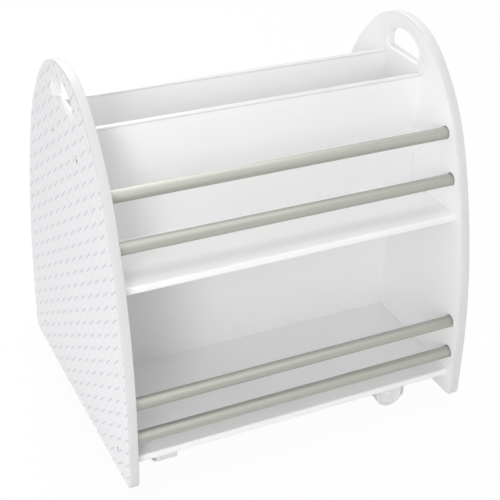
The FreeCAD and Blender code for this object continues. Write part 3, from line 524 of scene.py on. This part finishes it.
def archOutline():
    # flat bottom, straight legs, long side arcs, shoulders and crown, each tangent to the next
    p = sidePanel
    half = p["depth"] / 2
    low = np.radians(p["sideSweep"])
    high = low + np.radians(p["shoulderSweep"])
    reach = half - p["sideRadius"] * (1 - np.cos(low))
    crown = (reach - p["shoulderRadius"] * (np.cos(low) - np.cos(high))) / np.cos(high)
    rise = p["sideRadius"] * np.sin(low) + p["shoulderRadius"] * (np.sin(high) - np.sin(low))
    leg = p["height"] - rise - crown * (1 - np.sin(high))
    shoulder = (reach - p["shoulderRadius"] * np.cos(low),
                leg + (p["sideRadius"] - p["shoulderRadius"]) * np.sin(low))
    foot = p["footRadius"]
    count = p["points"]
    right = np.vstack((arc((half - foot, foot), foot, 270, 360, count["foot"]),
                       arc((half - p["sideRadius"], leg), p["sideRadius"], 0, p["sideSweep"], count["side"]),
                       arc(shoulder, p["shoulderRadius"], np.degrees(low), np.degrees(high),
                           count["shoulder"]),
                       arc((0, p["height"] - crown), crown, np.degrees(high), 90, count["crown"])))
    return closed(right, mirrored(right)) + (0, p["bottom"])


def slotOutline():
    # flat sill with small corners, and a crowned top between rounded shoulders
    s = handSlot
    half = s["width"] / 2
    top = sidePanel["bottom"] + sidePanel["height"] - s["drop"]
    crownUp = top - s["crownRadius"]
    inner = half - s["shoulderRadius"]
    shoulderUp = crownUp + np.sqrt((s["crownRadius"] - s["shoulderRadius"]) ** 2 - inner ** 2)
    turn = np.degrees(np.arctan2(shoulderUp - crownUp, inner))
    corner = (half - s["cornerRadius"], top - s["height"] + s["cornerRadius"])
    count = s["points"]
    right = np.vstack((arc(corner, s["cornerRadius"], 270, 360, count["corner"]),
                       arc((inner, shoulderUp), s["shoulderRadius"], 0, turn, count["shoulder"]),
                       arc((0, crownUp), s["crownRadius"], turn, 90, count["crown"])))
    return closed(right, mirrored(right))


def railSpots():
    # the middles of the rails' holes, above the rails' own axes: each rail lies low in its hole
    spots = []
    for face in ("front", "rear"):
        for rail in railNames:
            low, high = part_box(f"{face}_{rail}_rail")
            middle = (low + high) / 2 / metre
            spots.append((middle.y, middle.z + railDrop))
    return spots


def sidePanelSurface(side):
    # the panel's thickness runs along +X, so its inner face is the upper one on the left
    thick = sidePanel["thickness"]
    inner, outer = (thick, 0) if side < 0 else (0, thick)
    g = dividerGroove
    groove = (clockwise(roundedBox(-g["half"], g["half"], g["low"], g["high"], g["corner"], g["points"])),
              holeRows(g["lip"], inner + side * g["depth"], inner))
    dowelSpots = inBothHalves((fixings["shelfDowel"], fixings["uprightDowel"]))
    screwSpots = inBothHalves((fixings["uprightScrew"], fixings["shelfScrew"]))
    innerHoles = blindHoles(railSpots(), railHole, inner, side)
    innerHoles += blindHoles(dowelSpots, dowelHole, inner, side) + [groove]
    screwHoles = blindHoles(screwSpots, screwHole, outer, -side)
    fromTop, fromBottom = (innerHoles, screwHoles) if side < 0 else (screwHoles, innerHoles)
    through = [(clockwise(slotOutline()), edgeRows(handSlot["edgeRounding"], 0, thick))]
    # the outline's edge takes the third look, a greyer lacquer that is painted shade
    finishes = (1, 2, 0, 0) if side < 0 else (0, 2, 1, 0)  # the print is on the outer face
    surface = slab(archOutline(), edgeRows(sidePanel["edgeRounding"], 0, thick), through,
                   fromTop, fromBottom, finishes)
    start = sidePanel["inside"] if side > 0 else -sidePanel["inside"] - thick
    return laid(surface, (start, 0, 0), yAxis, zAxis)


for name, side in (("Left", -1), ("Right", 1)):
    makePiece(f"sidePanel{name}", sidePanelSurface(side), "frame",
              ("whiteLacquer", "zigzagPrint", "paintedShadeEdge"), (f"side_panel_{name.lower()}",))
print("side panels made")


board = {
    "halfLength": 285,
    "thickness": 12,
    "rounding": 3,  # long edges
    "roundingPoints": 9,
    "ends": 0.25,  # eased ends, where a board meets a side panel
    "grooveHalf": 3.1,
    "grooveDepth": 3,
    "housingHalf": 6.1,
    "housingDepth": 2,
}
upperShelf = {"depth": 400, "low": 352}
lowerShelf = {"depth": 461, "low": 64}
upright = {"middle": 58, "low": 362, "high": 556}
endDowelHole = {"radius": 3.05, "depth": 20.5, "lip": 0.2, "sides": 16}
endScrewHole = {"radius": 2.55, "depth": 39, "lip": 0.2, "sides": 16}


def notch(middle, half, face, depth):
    # a groove's four corners, in the order that the outline meets them; a positive depth goes down
    if depth < 0:
        half = -half
    return np.array([(middle + half, face), (middle + half, face - depth),
                     (middle - half, face - depth), (middle - half, face)])


def shelfOutline(shelf, grooveBelow, housings):
    # a section across the shelf: rounded front and back edges, a groove for the divider
    # in one face, and on the upper shelf two housings for the uprights
    half = shelf["depth"] / 2
    low = shelf["low"]
    high = low + board["thickness"]
    r = board["rounding"]
    count = board["roundingPoints"]
    parts = []
    if grooveBelow:
        parts.append(notch(0, board["grooveHalf"], low, -board["grooveDepth"]))
    parts.append(arc((half - r, low + r), r, 270, 360, count))
    parts.append(arc((half - r, high - r), r, 0, 90, count))
    if housings:
        for middle in (upright["middle"], -upright["middle"]):
            parts.append(notch(middle, board["housingHalf"], high, board["housingDepth"]))
    if not grooveBelow:
        parts.append(notch(0, board["grooveHalf"], high, board["grooveDepth"]))
    parts.append(arc((r - half, high - r), r, 90, 180, count))
    parts.append(arc((r - half, low + r), r, 180, 270, count))
    return closed(*parts)


def uprightOutline(middle):
    half = board["thickness"] / 2
    low, high = upright["low"], upright["high"]
    r = board["rounding"]
    count = board["roundingPoints"]
    return closed([(middle - half, low), (middle + half, low)],
                  arc((middle + half - r, high - r), r, 0, 90, count),
                  arc((middle - half + r, high - r), r, 90, 180, count))


def boardSurface(outline, holes):
    # a section carried from one side panel to the other; holes are pairs of spots and a kind of hole,
    # and go into both ends
    length = 2 * board["halfLength"]
    fromTop = [made for spots, hole in holes for made in blindHoles(spots, hole, length, -1)]
    fromBottom = [made for spots, hole in holes for made in blindHoles(spots, hole, 0, 1)]
    rows = edgeRows(board["ends"], 0, length, holding=0.2, count=4)
    surface = slab(outline, rows, (), fromTop, fromBottom)
    return laid(surface, (-board["halfLength"], 0, 0), yAxis, zAxis)


def topEdge(surface, level):
    # faces above a level take the second finish
    points, faces = surface
    level = level - meshing["slack"]
    return points, [(numbers, np.where(points[numbers][:, :, 2].min(axis=1) > level, 1, finish))
                    for numbers, finish in faces]


upperEnds = [(inBothHalves([fixings["shelfDowel"]]), endDowelHole)]
lowerEnds = [(inBothHalves([fixings["shelfScrew"]]), endScrewHole)]
makePiece("upperShelf", boardSurface(shelfOutline(upperShelf, True, True), upperEnds), "frame",
          ("whiteLacquer",), ("upper_shelf",))
makePiece("lowerShelf", boardSurface(shelfOutline(lowerShelf, False, False), lowerEnds), "frame",
          ("whiteLacquer",), ("lower_shelf",))
for name, side in (("front", -1), ("rear", 1)):
    dowelSpot, screwSpot = [(side * y, z) for y, z in (fixings["uprightDowel"], fixings["uprightScrew"])]
    surface = boardSurface(uprightOutline(side * upright["middle"]),
                           [([dowelSpot], endDowelHole), ([screwSpot], endScrewHole)])
    # the uprights' rounded tops take the second look, a greyer lacquer that is painted shade
    makePiece(f"{name}Upright", topEdge(surface, upright["high"] - board["rounding"]), "frame",
              ("whiteLacquer", "paintedShadeEdge"), (f"{name}_upright",))

divider = {
    "halfWidth": 288.5,
    "low": 73.5,
    "high": 354.5,
    "half": 3,
    "corner": 0.7,
    "cornerPoints": 4,
    "eased": 0.3,
}
sheet = roundedBox(-divider["halfWidth"], divider["halfWidth"], divider["low"], divider["high"],
                   divider["corner"], divider["cornerPoints"])
sheetRows = edgeRows(divider["eased"], -divider["half"], divider["half"], holding=0.2, count=4)
makePiece("centreDivider", laid(slab(sheet, sheetRows), (0, 0, 0), xAxis, zAxis), "frame",
          ("whiteLacquer",), ("centre_divider",))
print("boards made")


railTube = {"radius": 10, "wall": 1.2, "lip": 0.35, "sides": 96}


def railSurface(node):
    low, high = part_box(node)
    length = (high.x - low.x) / metre
    middle = (low + high) / 2 / metre
    bore = railTube["radius"] - railTube["wall"]
    rows = edgeRows(railTube["lip"], 0, length, holding=0.05, count=5)
    tube = slab(circle((0, 0), railTube["radius"], railTube["sides"]), rows,
                [(roundHole((0, 0), bore, railTube["sides"]), rows)])
    return laid(tube, (low.x / metre, middle.y, middle.z), yAxis, zAxis)


for face in ("front", "rear"):
    for rail in railNames:
        node = f"{face}_{rail}_rail"
        makePiece(f"{face}{rail.title()}Rail", railSurface(node), "frame",
                  ("railMetal",), (node,))
print("rails made")


panelScrew = {
    "headRadius": 4.75,
    "headHeight": 3.5,
    "headRounding": 0.7,
    "headSides": 48,
    "shankRadius": 2.5,
    "shankRounding": 0.6,
    "shankSides": 24,
    "length": 50,
    "overlap": 0.5,  # how far the shank reaches into the head
    "socketRadius": 2.5,
    "socketDepth": 2.5,
    "socketLip": 0.15,
    "socketSides": 6,
    "sink": 1,  # how far the head lies below the panel's outer face
}


def panelScrewSurface():
    # local +Z points out of the head; the head's top is at zero
    s = panelScrew
    socket = roundHole((0, 0), s["socketRadius"], s["socketSides"])
    # the socket's walls and floor take the second look, a near-black painted shade
    head = slab(circle((0, 0), s["headRadius"], s["headSides"]),
                edgeRows(s["headRounding"], -s["headHeight"], 0, holding=0.1, count=6),
                fromTop=[(socket, holeRows(s["socketLip"], -s["socketDepth"], 0, holding=0.1))],
                finishes=(0, 0, 0, 1))
    shank = slab(circle((0, 0), s["shankRadius"], s["shankSides"]),
                 edgeRows(s["shankRounding"], -s["length"], s["overlap"] - s["headHeight"],
                          holding=0.1, count=5))
    return together(head, shank)


def panelScrewsAt(spot):
    outside = sidePanel["inside"] + sidePanel["thickness"] - panelScrew["sink"]
    members = []
    for y, z in inBothHalves([spot]):
        members.append(laid(panelScrewSurface(), (outside, y, z), yAxis, zAxis))
        members.append(laid(panelScrewSurface(), (-outside, y, z), zAxis, yAxis))
    return together(*members)


makePiece("uprightScrews", panelScrewsAt(fixings["uprightScrew"]), "frame",
          ("yellowZinc", "paintedShadeSocket"), ("upright_screws",))
makePiece("lowerShelfScrews", panelScrewsAt(fixings["shelfScrew"]), "frame",
          ("yellowZinc", "paintedShadeSocket"), ("lower_shelf_screws",))
print("connecting screws made")


castor = {
    "trail": 20,  # swivel axis to the axle
    "axleUp": 25,
    "headings": {"front_left": 90, "rear_left": 90, "front_right": 180, "rear_right": 180},  # degrees
}
plate = {
    "half": 21,
    "corner": 6,
    "cornerPoints": 10,
    "rounding": 0.4,
    "low": 61.5,
    "high": 64,
    "screwSpacing": 32,
    "screwHoleRadius": 2.25,
    "screwHoleSides": 24,
    "pinRadius": 4,
    "pinSides": 32,
    "holeRounding": 0.2,
}
hood = {
    "rearAngle": 35,  # degrees round the axle, from the trailing side upwards
    "frontAngle": 205,
    "inner": 26.5,
    "outer": 28.5,
    "halfWidth": 18,
    "rounding": 0.95,  # of the cover's section
    "roundingPoints": 6,
    "endRounding": 0.7,
    "steps": 60,  # round the cover
    "crown": 0.5,  # how much lower the cover is at its sides than over the middle
    "crownPower": 4,  # higher makes the top flatter
}
web = {
    "half": 4.5,  # half the middle wall
    "rounding": 0.6,
    "axleBossRadius": 6,
    "axleBossPoints": 30,
    "axleRadius": 2.5,
    "axleSides": 32,
    "axleLip": 0.2,
}
boss = {
    "radius": 9,
    "low": 42,
    "top": 61,
    "rounding": 0.8,
    "sides": 64,
    "boreRadius": 4.05,
    "boreDepth": 17.5,
    "boreLip": 0.3,
    "boreSides": 32,
}
wheel = {
    "radius": 25,
    "width": 13,
    "rounding": 2.4,
    "roundingPoints": 7,
    "boreRadius": 2.55,
    "boreDepth": 10,
    "boreLip": 0.3,
    "gap": 0.5,  # between the wheel and the middle wall
    "rim": 20.2,  # inner edge of the tyre ring on the outer face
    "dish": 1.3,  # depth of the face inside it
    "hub": 7.2,
    "sides": 96,
    "tyre": 0.3,  # the tread's finish starts this far outside the rim
    # the outer face's profile, as steps in radius and height: at the rim and at the hub they are
    # measured from the wheel's full width, and in the dish from its floor
    "rimSteps": ((0.5, 0), (0.15, -0.1), (0, -0.4)),
    "dishRimSteps": ((-0.3, 0.2), (-0.8, 0)),
    "dishHubSteps": ((1.2, -0.5), (0.3, -0.3), (0, 0.1)),
    "hubSteps": ((-0.1, -0.9), (-0.5, -0.55)),
    "capSag": (0.2, 0.1),  # below the full width, half-way to the middle and at the middle
}
woodScrew = {
    "headRadius": 3.5,
    "headHeight": 2,
    "headSides": 32,
    "rounding": 1.4,
    "foot": ((0.15, 0), (0, 0.1)),  # inset and height of the rows under the head's rim
    "slot": 0.48,  # half the width of a cross recess's arms, at the middle and at their ends
    "tip": 0.36,
    "arm": 1.7,
    "recessLip": 0.1,
    "recessFloor": 0.8,
    "shankRadius": 1.75,
    "shankRounding": 0.5,
    "shankSides": 16,
    "length": 11.5,
    "overlap": 0.3,  # how far the shank reaches into the head
}


def coverSurface():
    # a section (radius, y) with rounded corners, carried round the axle:
    # x = trail + r cos(angle), z = axleUp + r sin(angle); its ends are rounded over too
    section = roundedBox(hood["inner"], hood["outer"], -hood["halfWidth"], hood["halfWidth"],
                         hood["rounding"], hood["roundingPoints"])
    sweep = np.radians(hood["frontAngle"] - hood["rearAngle"])
    middle = (hood["inner"] + hood["outer"]) / 2
    rows = edgeRows(hood["endRounding"], 0, sweep * middle, hood["steps"], holding=0.05, count=6)
    points, faces = slab(section, rows)
    radius, y, along = points.T
    outer = (radius - hood["inner"]) / (hood["outer"] - hood["inner"])
    radius = radius - hood["crown"] * np.clip(outer, 0, 1) * (y / hood["halfWidth"]) ** hood["crownPower"]
    angle = np.radians(hood["rearAngle"]) + along / middle
    bent = np.column_stack((castor["trail"] + radius * np.cos(angle), y,
                            castor["axleUp"] + radius * np.sin(angle)))
    return bent, faces


def webSurface():
    # the middle wall: a sector inside the cover that closes round the axle
    rear, front = hood["rearAngle"], hood["frontAngle"]
    middle = (hood["inner"] + hood["outer"]) / 2
    half = web["half"]
    outline = closed(arc((0, 0), middle, rear, front, hood["steps"]),
                     arc((0, 0), web["axleBossRadius"], front, rear + 360, web["axleBossPoints"]))
    hole = (roundHole((0, 0), web["axleRadius"], web["axleSides"]),
            edgeRows(web["axleLip"], -half, half, holding=0.1, count=3))
    wall = slab(outline, edgeRows(web["rounding"], -half, half, holding=0.2, count=5), [hole])
    return laid(wall, (castor["trail"], 0, castor["axleUp"]), xAxis, zAxis)


def bossSurface():
    # the swivel boss: a short cylinder whose foot follows the cover,
    # foot(x) = axleUp + sqrt(r^2 - (x - trail)^2), and no lower than the boss's own low
    height = boss["top"] - boss["low"]
    bore = (roundHole((0, 0), boss["boreRadius"], boss["boreSides"]),
            holeRows(boss["boreLip"], height - boss["boreDepth"], height, holding=0.1))
    points, faces = slab(circle((0, 0), boss["radius"], boss["sides"]),
                         edgeRows(boss["rounding"], 0, height, holding=0.2, count=6), fromTop=[bore])
    x, y, up = points.T
    middle = (hood["inner"] + hood["outer"]) / 2
    inside = np.clip(middle ** 2 - (x - castor["trail"]) ** 2, 0, None)
    foot = np.maximum(boss["low"], castor["axleUp"] + np.sqrt(inside))
    return np.column_stack((x, y, foot + (boss["top"] - foot) * up / height)), faces


def wheelSurface():
    # local +Z runs from the face beside the hood's wall to the outer face
    w = wheel
    r = w["rounding"]
    count = w["roundingPoints"]
    bore = [(0, w["boreDepth"]), (w["boreRadius"], w["boreDepth"]), (w["boreRadius"], w["boreLip"]),
            (w["boreRadius"] + w["boreLip"], 0)]
    floor = w["width"] - w["dish"]
    nearSag, middleSag = w["capSag"]
    profile = np.vstack([bore, arc((w["radius"] - r, r), r, 270, 360, count),
                         (w["radius"], w["width"] / 2),
                         arc((w["radius"] - r, w["width"] - r), r, 0, 90, count),
                         np.array(w["rimSteps"]) + (w["rim"], w["width"]),
                         np.array(w["dishRimSteps"]) + (w["rim"], floor),
                         np.array(w["dishHubSteps"]) + (w["hub"], floor),
                         np.array(w["hubSteps"]) + (w["hub"], w["width"]),
                         (w["hub"] * 0.5, w["width"] - nearSag), (0, w["width"] - middleSag)])
    radii = (profile[1:, 0] + profile[:-1, 0]) / 2
    return turned(profile, w["sides"], (radii > w["rim"] + w["tyre"]).astype(int))


def crossRecess():
    # one inner corner and the two arm ends beside it, turned clockwise by (x, y) -> (y, -x)
    slot, arm, tip = woodScrew["slot"], woodScrew["arm"], woodScrew["tip"]
    quarter = np.array([(tip, arm), (slot, slot), (arm, tip)])
    corners = [quarter]
    for turn in range(3):
        quarter = quarter[:, ::-1] * (1, -1)
        corners.append(quarter)
    return np.vstack(corners)


def woodScrewSurface():
    # a pan head below the plate with a cross recess, and a plain shank; local +Z points down
    s = woodScrew
    rows = np.vstack((s["foot"], upperRows(s["rounding"], s["headHeight"], holding=0.1, count=7)))
    recess = (crossRecess(), holeRows(s["recessLip"], s["recessFloor"], s["headHeight"],
                                      holding=0.05, count=3))
    head = slab(circle((0, 0), s["headRadius"], s["headSides"]), rows, fromTop=[recess])
    shank = slab(circle((0, 0), s["shankRadius"], s["shankSides"]),
                 edgeRows(s["shankRounding"], -s["length"], s["overlap"], holding=0.1, count=4))
    return together(head, shank)


def inPlateCorners():
    near = plate["screwSpacing"] / 2
    return [(x, y) for x in (-near, near) for y in (-near, near)]


def plateSurface():
    half = plate["half"]
    rows = edgeRows(plate["rounding"], plate["low"], plate["high"], holding=0.2, count=4)
    holes = [roundHole(spot, plate["screwHoleRadius"], plate["screwHoleSides"]) for spot in inPlateCorners()]
    holes.append(roundHole((0, 0), plate["pinRadius"], plate["pinSides"]))
    holeEdge = edgeRows(plate["holeRounding"], plate["low"], plate["high"], holding=0.1, count=3)
    return slab(roundedBox(-half, half, -half, half, plate["corner"], plate["cornerPoints"]), rows,
                [(hole, holeEdge) for hole in holes])


def turnedTo(surface, heading, spot):
    # a castor is drawn with its wheels trailing towards +X, then turned to its heading
    points, faces = surface
    cosine, sine = np.cos(np.radians(heading)), np.sin(np.radians(heading))
    rotation = np.array(((cosine, -sine, 0), (sine, cosine, 0), (0, 0, 1)))
    return points @ rotation.T + (spot[0], spot[1], 0), faces


def camelCase(name):
    # front_left becomes frontLeft
    first, second = name.split("_")
    return first + second.title()


spots = {}
for corner, heading in castor["headings"].items():
    low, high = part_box(f"{corner}_castor_plate")
    spots[corner] = tuple((low + high) / 2 / metre)[:2]
    title = camelCase(corner)
    makePiece(f"{title}CastorPlate", turnedTo(plateSurface(), heading, spots[corner]), "frame",
              ("brightZinc",), (f"{corner}_castor_plate",))
    cover = together(coverSurface(), webSurface(), bossSurface())
    makePiece(f"{title}CastorHood", turnedTo(cover, heading, spots[corner]), f"{corner}_swivel",
              ("hoodPlastic",), (f"{corner}_castor_hood",))
    # the left wheel, seen along the rolling direction, lies towards the local -Y
    for which, outwards in (("left", -1), ("right", 1)):
        inner = outwards * (web["half"] + wheel["gap"])
        disc = laid(wheelSurface(), (castor["trail"], inner, castor["axleUp"]),
                    outwards * zAxis, xAxis)
        makePiece(f"{title}CastorWheel{which.title()}", turnedTo(disc, heading, spots[corner]),
                  f"{corner}_wheel_{which}", ("wheelPlastic", "treadPlastic"),
                  (f"{corner}_castor_wheel_{which}",))

screws = [laid(woodScrewSurface(), (x + across, y + along, plate["low"]), yAxis, xAxis)
          for x, y in spots.values() for across, along in inPlateCorners()]
makePiece("castorScrews", together(*screws), "frame", ("brightZinc",),
          ("castor_screws",))
print("castors made")


# pieces of the frame that are kept as they are, and the look that each one gets
keptLooks = {"upper_shelf_dowels": "beechDowel", "upright_end_dowels": "beechDowel",
             "upright_base_dowels": "beechDowel", "castor_pins": "pinSteel"}
keptLooks.update({f"{corner}_castor_axle": "pinSteel" for corner in castor["headings"]})
for name, lookName in keptLooks.items():
    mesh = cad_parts[name].data
    mesh.materials.clear()
    mesh.materials.append(looks[lookName])
print("carried-over pieces finished")


studio = {
    "floorHalf": 7,  # metres
    "floorTint": (0.86, 0.86, 0.86),
    "floorRoughness": 0.9,
    "paper": 30,  # the pattern in which the floor's roughness varies, and how far
    "paperRange": (0.85, 0.95),
    "whiteShare": 0.95,  # how much of the floor is seen as plain white; the room is seen so in full
    "ambient": 0.53,
}
white = (1, 1, 1, 1)


def seenDirectly(tree):
    # one for camera, mirror and glass rays, and zero for the light that reaches the object
    path = tree.nodes.new("ShaderNodeLightPath").outputs
    total = path["Is Camera Ray"]
    for name in ("Is Glossy Ray", "Is Transmission Ray"):
        node = tree.nodes.new("ShaderNodeMath")
        node.operation = "MAXIMUM"
        tree.links.new(total, node.inputs[0])
        tree.links.new(path[name], node.inputs[1])
        total = node.outputs[0]
    return total


def makeFloor():
    half = studio["floorHalf"]
    mesh = bpy.data.meshes.new("floor")
    mesh.from_pydata([(-half, -half, 0), (half, -half, 0), (half, half, 0), (-half, half, 0)], [],
                     [(0, 1, 2, 3)])
    floor = bpy.data.objects.new("floor", mesh)
    bpy.context.scene.collection.objects.link(floor)
    finish = Finish("floorPaper", studio["floorTint"], studio["floorRoughness"])
    tree = finish.tree
    finish.use(Roughness=finish.between(finish.noise(studio["paper"], detail=2), *studio["paperRange"]))
    glow = finish.add("ShaderNodeEmission", Color=white, Strength=1.0)
    share = finish.maths("MULTIPLY", seenDirectly(tree), studio["whiteShare"])
    mix = finish.add("ShaderNodeMixShader", i0=share, i1=finish.shader.outputs[0], i2=glow.outputs[0])
    tree.links.new(mix.outputs[0], tree.nodes["Material Output"].inputs["Surface"])
    mesh.materials.append(finish.material)


def makeWorld():
    world = bpy.data.worlds.new("studio")
    bpy.context.scene.world = world
    world.use_nodes = True
    tree = world.node_tree
    light = tree.nodes["Background"]
    seen = tree.nodes.new("ShaderNodeBackground")
    for background, strength in ((light, studio["ambient"]), (seen, 1.0)):
        background.inputs["Color"].default_value = white
        background.inputs["Strength"].default_value = strength
    mix = tree.nodes.new("ShaderNodeMixShader")
    tree.links.new(seenDirectly(tree), mix.inputs[0])
    tree.links.new(light.outputs[0], mix.inputs[1])
    tree.links.new(seen.outputs[0], mix.inputs[2])
    tree.links.new(mix.outputs[0], tree.nodes["World Output"].inputs["Surface"])


# metres and watts; spread, in degrees, narrows a lamp's beam, so that the fill lights little but the
# right-hand bays
lamps = {
    "key": {"place": (-1.68, -2.23, 1.1), "aim": (0, 0, 0.35), "size": (1.0, 2.4), "spread": 180,
            "power": 23},
    "fill": {"place": (-1.68, -2.23, 1.1), "aim": (0.35, 0, 0.25), "size": (1.0, 1.6), "spread": 32,
             "power": 0.6},
    "high": {"place": (-0.37, -2.09, 2.47), "aim": (0, 0, 0.35), "size": (1.3, 1.3), "spread": 180,
             "power": 5},
    "overhead": {"place": (0.1, -0.2, 2.6), "aim": (0, 0, 0.4), "size": (1.8, 1.8), "spread": 180,
                 "power": 14},
    "behind": {"place": (0, 2.12, 2.47), "aim": (0, 0, 0.35), "size": (1.3, 1.3), "spread": 180,
               "power": 40},
}
steep = 0.9  # a lamp whose aim drops by more than this share of its length has Y as its upright, not Z


def makeLamp(name, settings):
    lamp = bpy.data.lights.new(name, "AREA")
    lamp.shape = "ELLIPSE"
    lamp.size, lamp.size_y = settings["size"]
    lamp.spread = float(np.radians(settings["spread"]))
    lamp.energy = settings["power"]
    holder = bpy.data.objects.new(name, lamp)
    bpy.context.scene.collection.objects.link(holder)
    aim = np.array(settings["aim"]) - settings["place"]
    across = np.cross(aim, zAxis if abs(aim[2]) < steep * np.linalg.norm(aim) else yAxis)
    axes = np.array((across, np.cross(across, aim), -aim))
    axes /= np.linalg.norm(axes, axis=1)[:, None]
    turn = np.eye(4)
    turn[:3, :3] = axes.T
    turn[:3, 3] = settings["place"]
    holder.matrix_world = Matrix(turn.tolist())


view = {
    "place": (-0.754145, -1.584545, 1.30723),
    "turn": (59.547317, -2.007994, -26.302828),  # degrees about X, Y and Z
    "sensor": 36,
    "lens": 86.568552,
    "shift": (-0.06, -0.02),
}


def makeCamera():
    lens = bpy.data.cameras.new("camera")
    lens.sensor_width = view["sensor"]
    lens.lens = view["lens"]
    lens.shift_x, lens.shift_y = view["shift"]
    camera = bpy.data.objects.new("camera", lens)
    camera.location = view["place"]
    camera.rotation_euler = [float(np.radians(angle)) for angle in view["turn"]]
    bpy.context.scene.collection.objects.link(camera)
    bpy.context.scene.camera = camera


makeFloor()
makeWorld()
for name, settings in lamps.items():
    makeLamp(name, settings)
makeCamera()
bpy.context.scene.view_settings.view_transform = "Standard"
print("floor, light and camera made")
